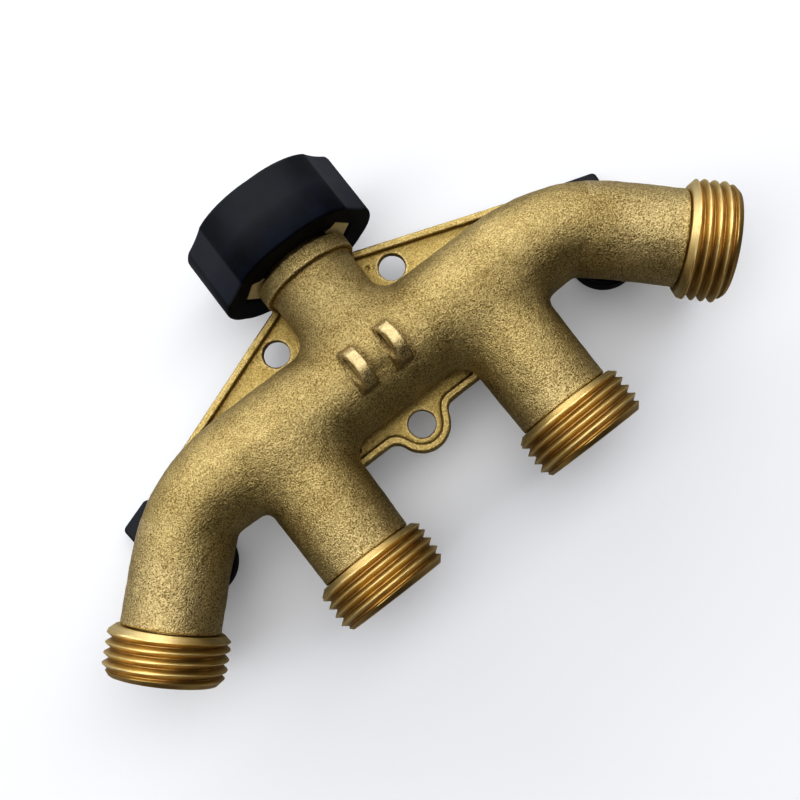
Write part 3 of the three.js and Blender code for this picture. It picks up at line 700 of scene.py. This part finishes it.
def casting_distance(x, y, z):
    out = np.abs(x)  # the casting is the same on both sides of the inlet's axis
    crotch = np.clip((out - INNER_LEG_X - 6) / 6, 0, 1) * np.exp(-((z / 5) ** 2))
    between = LEG_FILLET - CROTCH_TIGHTER * crotch
    shell = fillet(tube_shell(out, y, z), inner_leg_shell(out, y, z), between)
    neck = cylinder(np.hypot(out, z), y, NECK_RADIUS, 0, COLLAR[2] - 0.5)
    shell = fillet(shell, neck, NECK_FILLET)
    shell = shell - PARTING_LINE[0] * np.exp(-((z / PARTING_LINE[1]) ** 2))
    collar = cylinder(np.hypot(out, z), y, *COLLAR, 0.35)
    shell = fillet(shell, collar, COLLAR_FILLET)
    spigot = cylinder(np.hypot(out, z), y, *SPIGOT, 0.3)
    groove = slab(y, SNAP_GROOVE[1], SNAP_GROOVE[2])
    spigot = cut(spigot, meet(SNAP_GROOVE[0] - np.hypot(out, z), groove, 0.1), 0.15)
    shell = np.minimum(shell, spigot)
    for centre, heading in ((OUTER_CENTRE, -math.pi / 2), ((INNER_LEG_X, -INNER_BALL), -math.pi / 4)):
        shell = fillet(shell, stem_boss(out, y, z, centre, heading), BOSS_FILLET)
    webs = flange_webs(out, y, z)
    for hx, hy in (UPPER_HOLE, LOWER_HOLE):
        webs = cut(webs, np.hypot(out - hx, y - hy) - SCREW_HOLE, 0.25)
    shell = fillet(shell, webs, WEB_FILLET)
    for middle in LUGS:
        shell = add_ring_lug(shell, x, y, z, middle)
    for px, py, pz, radius in PITS:
        pit = np.sqrt((x - px) ** 2 + (y - py) ** 2 + (z - pz) ** 2) - radius
        shell = cut(shell, pit, 0.15)
    return cut(shell, casting_hollows(out, y, z), 0.25)


def casting_marks(p, normal):
    """Where the casting is hollow, an edge, a flange web, or bared by wear on a lug's top. The lugs'
    steep flanks are added to the hollows, as painted shade.
    """
    marks = surface_marks(casting_distance, p, 2.2)
    webs = flange_webs(np.abs(p[:, 0]), p[:, 1], p[:, 2])
    tube = tube_shell(np.abs(p[:, 0]), p[:, 1], p[:, 2])
    marks["web"] = np.clip(1 - webs / 0.6, 0, 1) * np.clip(tube, 0, 1)
    above = p[:, 2] - TUBE_RADIUS
    upper = np.clip((above - 1.6) / 0.5, 0, 1) * np.clip((p[:, 1] + 2.6) / 1.2, 0, 1)
    marks["wear_and_painted_sheen"] = upper * np.clip((normal[:, 2] - 0.45) / 0.3, 0, 1)
    # painted shade on the lugs' steep flanks, put into the hollow mark
    flank = np.clip((above - 0.2) / 0.3, 0, 1) * np.clip((0.4 - normal[:, 2]) / 0.3, 0, 1)
    marks["hollow"] = np.maximum(marks["hollow"], 0.9 * flank)
    return marks


def make_casting():
    low = (-82.0, -INNER_END - 0.5, STOP_BOTTOM - 0.5)
    high = (82.0, SPIGOT[2] + 0.5, 17.0)
    p, quads = surface_net(casting_distance, low, high, 0.38 * FINE)
    normal = gradient(casting_distance, p)
    marks = casting_marks(p, normal)
    cast_skin = np.clip(casting_hollows(np.abs(p[:, 0]), p[:, 1], p[:, 2]) / 0.5 - 1, 0, 1)
    uneven = 0.07 * lattice_noise(p, 3.1, 11) + 0.05 * lattice_noise(p, 1.1, 12)
    p = p + normal * (uneven * cast_skin)[:, None]
    add_piece(
        "sand_cast_manifold", p, quads, CAST_BRASS, "casting", "cast_brass",
        ["manifold_body"], marks=marks,
    )


# ---- Outlets ----

COLUMNS = 168
CREST_FLAT, ROOT_FLAT = 0.10, 0.12


def thread_form(turn, at, first):
    """Depth of a V thread below its crest, as a share of the full depth. A crest passes first."""
    phase = (at - first) / THREAD_PITCH - turn / (2 * math.pi)
    away = np.abs(phase - np.round(phase)) * THREAD_PITCH
    return np.clip((away - CREST_FLAT) / (THREAD_PITCH / 2 - CREST_FLAT - ROOT_FLAT), 0, 1)


def end_radius(radius_at, at):
    """A threaded tube's radius where it starts or ends."""
    return float(radius_at(np.zeros(1), np.array([at]))[0])


def closed_tube(tube, profile):
    """A threaded tube with its two ends joined by a lathed profile."""
    points, faces = lathe(profile, COLUMNS, closed=False)
    offset = len(tube[0])
    faces = tube[1] + [tuple(corner + offset for corner in face) for face in faces]
    return weld(np.concatenate([tube[0], points]), faces)


def tailpiece_radius(turn, at):
    """The male thread, the cone and smooth band before it, and the chamfer at its end."""
    root = THREAD_RADIUS - THREAD_DEPTH
    thread = THREAD_RADIUS - THREAD_DEPTH * thread_form(turn, at, SHOULDER)
    rise = THREAD_RADIUS - CONE_START
    cone = CONE_START + (at - CAST_END - GAP) * rise / (SHOULDER - CAST_END - GAP)
    band = np.minimum(cone, THREAD_RADIUS - BAND_INSET)
    band = np.minimum(band, root + np.maximum(0, SHOULDER + BAND_WIDTH - at) * BAND_SLOPE)
    chamfer = root + np.maximum(0, OUTLET_END - at) * CHAMFER_SLOPE - CHAMFER_INSET
    return np.minimum(np.maximum(band, np.minimum(thread, cone)), chamfer)


def make_tailpiece():
    start, end = CAST_END + GAP, OUTLET_END
    outside = threaded_tube(tailpiece_radius, start, end, COLUMNS)
    shank = CHAMBER_RADIUS - GAP
    inside = [
        (end_radius(tailpiece_radius, end), end),
        (OUTLET_BORE + 0.55, end),
        (OUTLET_BORE + 0.15, end - 0.15),
        (OUTLET_BORE, end - 0.55),
        (OUTLET_BORE, 12.0),
        (OUTLET_BORE, -CHAMBER_START + 0.3),
        (OUTLET_BORE + 0.3, -CHAMBER_START),
        (shank - 0.3, -CHAMBER_START),
        (shank, -CHAMBER_START + 0.3),
        (shank, start),
        (end_radius(tailpiece_radius, start), start),
    ]
    return closed_tube(outside, inside)


def make_seat():
    cup = BALL_RADIUS + GAP
    lip = 3.0
    start, end = math.asin(lip / cup), math.acos(PORT_BORE / cup)
    arc = [start + (end - start) * i / 8 for i in range(9)]
    face = [(cup * math.cos(a), cup * math.sin(a), 0) for a in reversed(arc)]
    outer, back = CHAMBER_RADIUS - GAP, -CHAMBER_START - GAP
    return lathe(rounded(face + [(outer, lip), (outer, back), (PORT_BORE, back)], 0.25), 72)


def plain_ring(inner, outer, low, high, edge=0.2, columns=72):
    return lathe(rounded([(inner, low), (outer, low), (outer, high), (inner, high)], edge), columns)


def o_ring():
    section = (STEM_RADIUS + GAP - STEM_GROOVE[0]) / 2 - 0.25
    middle = (STEM_RADIUS + GAP + STEM_GROOVE[0]) / 2
    height = (STEM_GROOVE[1] + STEM_GROOVE[2]) / 2
    turns = [i * 2 * math.pi / 16 for i in range(16)]
    return lathe([(middle + section * math.cos(a), height + section * math.sin(a)) for a in turns], 48)


def ball_distance(x, y, z):
    ball = np.sqrt(x * x + y * y + z * z) - BALL_RADIUS
    ball = cut(ball, np.hypot(x, z) - BALL_BORE, 0.3)
    slot = np.maximum(np.abs(y) - BALL_SLOT_WIDTH / 2, z - BALL_SLOT_FLOOR)
    return cut(ball, slot, 0.2)


def stem_distance(x, y, z):
    around = np.hypot(x, y)
    stem = cylinder(around, z, STEM_FLANGE, *FLANGE_SPAN, 0.2)
    stem = np.minimum(stem, cylinder(around, z, STEM_RADIUS, *STEM_SPAN, 0.2))
    groove = meet(STEM_GROOVE[0] - around, slab(z, STEM_GROOVE[1], STEM_GROOVE[2]), 0.1)
    stem = cut(stem, groove, 0.1)
    half = STEM_SQUARE / 2
    square = meet(np.maximum(np.abs(x), np.abs(y)) - half, slab(z, *SQUARE_SPAN), 0.2)
    tongue = np.maximum(np.abs(x) - TONGUE_HALF, np.abs(y) - BALL_SLOT_WIDTH / 2 + GAP)
    tongue = meet(tongue, slab(z, *TONGUE_SPAN), 0.2)
    stem = np.minimum(np.minimum(stem, square), tongue)
    return cut(stem, np.maximum(around - SCREW_SHAFT - GAP, z - STEM_BORE_TOP), 0.1)


def handle_distance(gap_middle, gap_half):
    """A handle with its lever along +X and a gap in its skirt for the stop rib."""
    corner_x, corner_y = REACH - HANDLE_CORNER, TIP - HANDLE_CORNER
    corner_turn = math.atan2(corner_y, corner_x)
    leave = corner_turn + math.acos((HUB - HANDLE_CORNER) / math.hypot(corner_x, corner_y))

    def distance(x, y, z):
        around = np.hypot(x, y)
        flank = x * math.cos(leave) + np.abs(y) * math.sin(leave) - HUB
        lever = np.maximum(meet(flank, x - REACH, HANDLE_CORNER), HUB * math.cos(leave) - x)
        outline = np.minimum(around - HUB, lever)
        body = meet(outline, slab(z, HANDLE_BOTTOM, HANDLE_TOP), 0.7)
        away = np.abs(wrapped(np.arctan2(y, x) - gap_middle))
        skirt = meet(slab(around, SKIRT_INNER, HUB), slab(z, HANDLE_TOP - 0.6, SKIRT_TOP), 0.3)
        skirt = meet(skirt, (gap_half - away) * around, 0.25)
        body = fillet(body, skirt, 0.25)
        body = cut(body, np.maximum(around - SCREW_SEAT_RADIUS, z - SCREW_SEAT), 0.35)
        body = cut(body, around - SCREW_SHAFT - GAP, 0.1)
        socket = np.maximum(np.maximum(np.abs(x), np.abs(y)) - SOCKET_HALF, SOCKET_FLOOR - z)
        return cut(body, socket, 0.2)

    return distance


def screw_distance(x, y, z):
    around = np.hypot(x, y)
    dome = np.sqrt(around**2 + (z - SCREW_BOTTOM - SCREW_DOME) ** 2) - SCREW_DOME
    head = meet(np.maximum(around - SCREW_HEAD, dome), slab(z, SCREW_BOTTOM, SCREW_SEAT - GAP), 0.15)
    shaft = cylinder(around, z, SCREW_SHAFT, SCREW_SEAT - 1, SCREW_TIP, 0.2)
    slot = np.maximum(np.abs(y) - SCREW_SLOT, z - SCREW_BOTTOM - SCREW_SLOT_DEPTH)
    return cut(np.minimum(head, shaft), slot, 0.08)


def column_net(distance, half, low, high, step):
    """The surface of a shape that stands in a square column about the Z axis."""
    return surface_net(distance, (-half, -half, low), (half, half, high), step * FINE)


def add_handle(name, body, place, stop_heading):
    """A handle. stop_heading is the middle of its skirt's gap, from the lever."""
    shape = handle_distance(stop_heading, math.pi / 4 + STOP_HALF + STOP_PLAY)
    low = (-HUB - 0.5, -HUB - 0.5, HANDLE_BOTTOM - 0.5)
    handle = surface_net(shape, low, (REACH + 0.5, HUB + 0.5, SKIRT_TOP + 0.5), 0.3 * FINE)
    add_piece(
        "moulded_handle_" + name, *handle, BLACK_PLASTIC, body, "black_plastic",
        ["valve_handle_" + name], place, None, surface_marks(shape, handle[0], 0.9),
    )


def make_valves():
    tailpiece = make_tailpiece()
    tail_marks = thread_marks(tailpiece[0], THREAD_RADIUS - THREAD_DEPTH)
    tail_marks["hollow"] *= tailpiece[0][:, 1] > SHOULDER
    seat = make_seat()
    washer_rims = (STEM_RADIUS + GAP, STEM_RECESS[0] - GAP)
    washer = plain_ring(*washer_rims, STEM_RECESS[1] + GAP, FLANGE_SPAN[0] - GAP, 0.1, 48)
    ring = o_ring()
    ball = column_net(ball_distance, 8.8, -8.8, 8.8, 0.4)
    stem = column_net(stem_distance, 4.5, -19.8, -6.2, 0.28)
    screw = column_net(screw_distance, 3.3, SCREW_BOTTOM - 0.3, SCREW_TIP + 0.4, 0.14)
    stem_marks = surface_marks(stem_distance, stem[0], 0.8)
    upright = Matrix.Rotation(math.pi / 2, 4, "X")
    for name, side, outer, rest, opened, stop in OUTLETS:
        body = "valve_" + name
        centre = Matrix.Translation(hinge_point("valve_turn_" + name))
        lean = side * BEND_ANGLE if outer else 0.0
        leg = centre @ Matrix.Rotation(math.pi + lean, 4, "Z")
        leg_heading = -math.pi / 2 + lean
        back = leg @ Matrix.Rotation(math.pi, 4, "Z")
        add_piece(
            "turned_tailpiece_" + name, *tailpiece, TURNED_BRASS, "casting", "turned_brass",
            ["tailpiece_" + name], leg, 30, tail_marks,
        )
        for label, place in (("outlet", leg), ("inlet", back)):
            add_piece(
                f"{label}_seat_ring_{name}", *seat, WHITE_PTFE, "casting", "white_ptfe",
                [f"{label}_seat_{name}"], place, 30,
            )
        add_piece(
            "thrust_washer_" + name, *washer, WHITE_PTFE, "casting", "white_ptfe",
            ["stem_washer_" + name], centre @ upright, 30,
        )
        add_piece(
            "round_seal_" + name, *ring, BLACK_RUBBER, body, "black_rubber",
            ["stem_o_ring_" + name], centre @ upright,
        )
        bore_turn = leg_heading - math.pi / 2 + math.radians(rest - opened)
        core = centre @ Matrix.Rotation(bore_turn, 4, "Z")
        add_piece(
            "bored_ball_" + name, *ball, CHROME, body, "chrome_plate", ["valve_ball_" + name], core
        )
        add_piece(
            "turned_stem_" + name, *stem, TURNED_BRASS, body, "turned_brass",
            ["valve_stem_" + name], core, None, stem_marks,
        )
        grip_place = centre @ Matrix.Rotation(math.radians(rest), 4, "Z")
        inwards = -side if outer else side
        middle = math.radians(opened + inwards * 45)
        add_handle(name, body, grip_place, wrapped(math.radians(stop) - middle))
        add_piece(
            "slotted_screw_" + name, *screw, SCREW_STEEL, body, "screw_steel",
            ["handle_screw_" + name], grip_place,
        )


# ---- Inlet ----


def soft_least(a, b, width):
    """The smaller of two values, with the change between them rounded."""
    return -width * np.logaddexp(-a / width, -b / width)


def from_lobe(turn):
    """The angle between a heading and the middle of the nut's nearest lobe."""
    third = 2 * math.pi / 3
    return np.abs((turn - NUT_TURN + third / 2) % third - third / 2)


def grip_radius(turn):
    """The nut's outline: three dished lobes, one of them nearly on top, joined by dished flats."""
    away = from_lobe(turn)
    across = away / NUT_LOBE_HALF
    drop = np.where(across < 0.5, NUT_DISH, NUT_FALL) * (2 * across - 1) ** 2
    from_flat, flat_half = math.pi / 3 - away, math.pi / 3 - NUT_LOBE_HALF
    apothem = (NUT_LOBE - NUT_FALL) * math.cos(flat_half)
    dished = NUT_FLAT_DISH * np.clip(1 - (from_flat / flat_half) ** 2, 0, 1)
    flat = np.where(away > math.radians(30), apothem / np.cos(from_flat) - dished, 99.0)
    return soft_least(NUT_LOBE - drop, flat, 0.03)


def grip_marks(p):
    """The nut's edges, with painted highlight lines along its corners, a painted reflection on its
    flats, and where it is matt, towards its back.
    """
    marks = surface_marks(grip_distance, p, 1.2)
    turn = np.arctan2(p[:, 0], p[:, 2])
    around = np.hypot(p[:, 0], p[:, 2])
    past_corner = from_lobe(turn) - NUT_LOBE_HALF
    outside = around > grip_radius(turn) - 0.5
    # painted highlight lines along the nut's corners, put into the edge mark
    corner = np.clip(1 - np.abs(past_corner) * around / 0.5, 0, 1) * outside
    marks["edge"] = np.maximum(marks["edge"], 0.6 * corner)
    # painted reflection on the nut's flats
    marks["wear_and_painted_sheen"] = outside * np.clip(past_corner * around / 0.5, 0, 1)
    marks["matt"] = np.clip((NUT_BACK + 8 - p[:, 1]) / 8, 0, 1) ** 0.6
    return marks


def notch_distance(x, z):
    """The triangular notch beside the hole in the nut's back wall, the same on both sides."""
    corners = [(r * math.sin(math.radians(a)), r * math.cos(math.radians(a))) for r, a in NOTCH]
    parts = []
    for (x0, z0), (x1, z1) in (((0, 0), corners[0]), corners[:2], corners[1:], (corners[2], (0, 0))):
        length = math.hypot(x1 - x0, z1 - z0)
        parts.append(((np.abs(x) - x0) * (z0 - z1) + (z - z0) * (x1 - x0)) / length)
    return meet(meet(parts[0], parts[1], 0.2), meet(parts[2], parts[3], 0.2), 0.2)


def key_distance(x, y, z):
    """A key that fills the notch and stands on the insert's back."""
    shape = meet(notch_distance(x, z) + GAP, KEY_INNER - np.hypot(x, z), 0.2)
    return meet(shape, slab(y, KEY_BACK, INSERT_BACK + 0.5), 0.2)


def grip_distance(x, y, z):
    around = np.hypot(x, z)
    turn = np.arctan2(x, z)
    outline = (around - grip_radius(turn)) * 0.97  # less than along the radius, as the outline slopes
    grip = meet(outline, slab(y, NUT_BACK, NUT_FRONT), 0.45)
    grip = cut(grip, np.maximum(around - INSERT_OUTER - GAP, NUT_BACK + NUT_WALL - y), 0.5)
    hole = fillet(around - NUT_HOLE, notch_distance(x, z), 0.2)
    return cut(grip, hole, 0.2)


def insert_radius(turn, at):
    """The female thread's inside, from its back wall to the mouth."""
    crest = INSERT_ROOT - THREAD_DEPTH
    thread = crest + THREAD_DEPTH * (1 - thread_form(turn, at, INSERT_FRONT))
    relief = np.clip((at - WASHER[3] - 0.2) / 0.5, 0, 1)
    thread = np.minimum(thread, INSERT_ROOT) * relief + crest * (1 - relief)
    mouth = INSERT_ROOT - np.maximum(0, INSERT_FRONT - at - 0.15) * 0.9
    return np.maximum(thread, mouth)


def make_insert():
    start, end = INSERT_BACK + INSERT_WALL, INSERT_FRONT
    inside = threaded_tube(insert_radius, start, end, COLUMNS, inward=True)
    outside = [
        (end_radius(insert_radius, start), start),
        (INSERT_HOLE + 0.25, start),
        (INSERT_HOLE, start - 0.25),
        (INSERT_HOLE, INSERT_BACK + 0.25),
        (INSERT_HOLE + 0.25, INSERT_BACK),
        (INSERT_OUTER - 0.25, INSERT_BACK),
        (INSERT_OUTER, INSERT_BACK + 0.25),
        (INSERT_OUTER, end - 0.25),
        (INSERT_OUTER - 0.25, end),
        (end_radius(insert_radius, end), end),
    ]
    points, faces = closed_tube(inside, outside)
    marks = thread_marks(points, INSERT_ROOT)
    key_low, key_high = (-15.5, KEY_BACK - 0.3, -6), (15.5, INSERT_BACK + 0.8, 12)
    key, key_faces = surface_net(key_distance, key_low, key_high, 0.2 * FINE)
    faces += [[c + len(points) for c in face] for face in key_faces.tolist()]
    key_marks = surface_marks(key_distance, key, 0.5)
    key_marks["hollow"] *= 0
    # painted reflection: the key's back faces are marked to be drawn bright and less metallic
    key_marks["wear_and_painted_sheen"] = (key[:, 1] < KEY_BACK + 0.1).astype(float)
    marks["wear_and_painted_sheen"] = np.zeros(len(points))
    marks = {name: np.concatenate([marks[name], key_marks[name]]) for name in marks}
    return np.concatenate([points, key]), faces, marks


def snap_ring_distance(x, y, z):
    around = np.hypot(x, z)
    thick = slab(y, SNAP_GROOVE[1] + GAP, SNAP_GROOVE[2] - GAP)
    ring = meet(slab(around, SNAP_GROOVE[0] + GAP, SNAP_OUTER), thick, 0.2)
    away = np.abs(wrapped(np.arctan2(z, x)))
    return cut(ring, (away - SNAP_GAP) * around, 0.2)


def make_inlet():
    low, high = (-21.5, NUT_BACK - 0.5, -21.5), (21.5, NUT_FRONT + 0.5, 21.5)
    grip = surface_net(grip_distance, low, high, 0.36 * FINE)
    add_piece(
        "moulded_nut_grip", *grip, BLACK_PLASTIC, "swivel_nut", "black_plastic",
        ["swivel_nut_grip"], marks=grip_marks(grip[0]),
    )
    points, faces, marks = make_insert()
    add_piece(
        "threaded_nut_insert", points, faces, TURNED_BRASS, "swivel_nut", "turned_brass",
        ["swivel_nut_insert"], None, 30, marks,
    )
    low, high = (-11.5, 33.0, -11.5), (11.5, 35.3, 11.5)
    ring = surface_net(snap_ring_distance, low, high, 0.25 * FINE)
    add_piece("split_snap_ring", *ring, SCREW_STEEL, "casting", "screw_steel", ["neck_snap_ring"])
    washer = plain_ring(*WASHER, 0.4, 96)
    add_piece(
        "flat_inlet_seal", *washer, BLACK_RUBBER, "casting", "black_rubber", ["inlet_washer"], None, 30
    )


# ---- Floor, light and camera ----

FLOOR_SIZE = 2.5  # half a side, in metres, as the lights' places and sizes are
FLOOR_SEEN = (0.62, 0.625, 0.64)
FLOOR_GLOW, FLOOR_GLOW_COLOUR = 0.115, (0.97, 0.98, 1.0, 1)
FLOOR_IN_REFLECTIONS = (0.30, 0.30, 0.30)
ROOM_FADE = (-0.55, 0.15)  # how far towards the inlet the room turns from dark to light
ROOM_LIGHT, ROOM_COLOUR = (0.03, 0.45), (0.93, 0.95, 1.0, 1)
BACKDROP_COLOUR = (0.80, 0.81, 0.83, 1)
KEY_PLACE, KEY_SIZE, KEY_POWER, KEY_COLOUR = (0.1, 1.35, 0.5), (2.8, 0.6), 14, (1.0, 0.99, 0.975)
TOP_PLACE, TOP_SIZE, TOP_POWER, TOP_COLOUR = (0.0, 0.14, 1.3), (3.2, 0.9), 16, (1.0, 1.0, 1.0)
CAMERA_FROM_ORIGIN = Vector((-10.917, -40.753, 229.5)) * MM
CAMERA_RIGHT = (0.7936, -0.6066, -0.0470)
CAMERA_UP = (0.6069, 0.7838, 0.1320)
CAMERA_BACK = (-0.0432, -0.1332, 0.9901)
SENSOR = 36.0
FOCAL = 1.29493  # focal length over the frame's width


def make_floor():
    """A pale floor that is seen from above only."""
    signs = ((-1, -1), (1, -1), (1, 1), (-1, 1))
    corners = [(x * FLOOR_SIZE, y * FLOOR_SIZE, 0) for x, y in signs]
    mesh = bpy.data.meshes.new("floor")
    mesh.from_pydata(corners, [], [(0, 1, 2, 3)])
    floor = bpy.data.objects.new("floor", mesh)
    bpy.context.scene.collection.objects.link(floor)
    s = Shader("pale_floor")
    tone = s.noise(120, detail=2)
    seen = s.mix(s.ramp(tone, 0.3, 0.7), FLOOR_SEEN, [1.03 * part for part in FLOOR_SEEN])
    direct = s.add("ShaderNodeLightPath").outputs["Is Camera Ray"]
    colour = s.mix(direct, FLOOR_IN_REFLECTIONS, seen)
    glow = s.calc("MULTIPLY", direct, FLOOR_GLOW)
    from_above = s.calc("SUBTRACT", 1.0, s.add("ShaderNodeNewGeometry").outputs["Backfacing"])
    s.feed(s.surface.inputs["Emission Color"], FLOOR_GLOW_COLOUR)
    mesh.materials.append(
        s.finish(base_color=colour, roughness=0.8, emission_strength=glow, alpha=from_above)
    )


def area_light(name, place, size, power, colour):
    """A rectangular light that faces the object."""
    data = bpy.data.lights.new(name, "AREA")
    data.shape = "RECTANGLE"
    data.size, data.size_y = size
    data.energy = power
    data.color = colour
    light = bpy.data.objects.new(name, data)
    bpy.context.scene.collection.objects.link(light)
    light.rotation_mode = "QUATERNION"
    light.rotation_quaternion = (-Vector(place)).to_track_quat("-Z", "Y")
    light.location = place


def make_light():
    """A large soft light over the object, one from beyond the inlet, and a dim room."""
    world = bpy.data.worlds.new("studio")
    bpy.context.scene.world = world
    world.use_nodes = True
    tree = world.node_tree
    room = tree.nodes["Background"]
    room.inputs["Color"].default_value = ROOM_COLOUR
    towards = tree.nodes.new("ShaderNodeSeparateXYZ")
    tree.links.new(tree.nodes.new("ShaderNodeTexCoord").outputs["Generated"], towards.inputs[0])
    fade = tree.nodes.new("ShaderNodeMapRange")
    fade.interpolation_type = "SMOOTHSTEP"
    for socket, value in zip(fade.inputs[1:5], (*ROOM_FADE, *ROOM_LIGHT)):
        socket.default_value = value
    tree.links.new(towards.outputs["Y"], fade.inputs[0])
    tree.links.new(fade.outputs[0], room.inputs["Strength"])
    backdrop = tree.nodes.new("ShaderNodeBackground")
    backdrop.inputs["Color"].default_value = BACKDROP_COLOUR
    path = tree.nodes.new("ShaderNodeLightPath")
    mix = tree.nodes.new("ShaderNodeMixShader")
    tree.links.new(path.outputs["Is Camera Ray"], mix.inputs[0])
    tree.links.new(room.outputs[0], mix.inputs[1])
    tree.links.new(backdrop.outputs[0], mix.inputs[2])
    tree.links.new(mix.outputs[0], tree.nodes["World Output"].inputs["Surface"])
    area_light("key", KEY_PLACE, KEY_SIZE, KEY_POWER, KEY_COLOUR)
    area_light("overhead", TOP_PLACE, TOP_SIZE, TOP_POWER, TOP_COLOUR)


def make_camera():
    data = bpy.data.cameras.new("camera")
    data.sensor_width = SENSOR
    data.lens = SENSOR * FOCAL
    data.clip_start = 0.01
    camera = bpy.data.objects.new("camera", data)
    bpy.context.scene.collection.objects.link(camera)
    turn = Matrix((CAMERA_RIGHT, CAMERA_UP, CAMERA_BACK)).transposed()
    camera.matrix_world = Matrix.Translation(ORIGIN + CAMERA_FROM_ORIGIN) @ turn.to_4x4()
    bpy.context.scene.camera = camera


make_casting()
make_valves()
make_inlet()
make_floor()
make_light()
make_camera()
bpy.context.scene.view_settings.view_transform = "Standard"
bpy.context.scene.view_settings.look = "High Contrast"
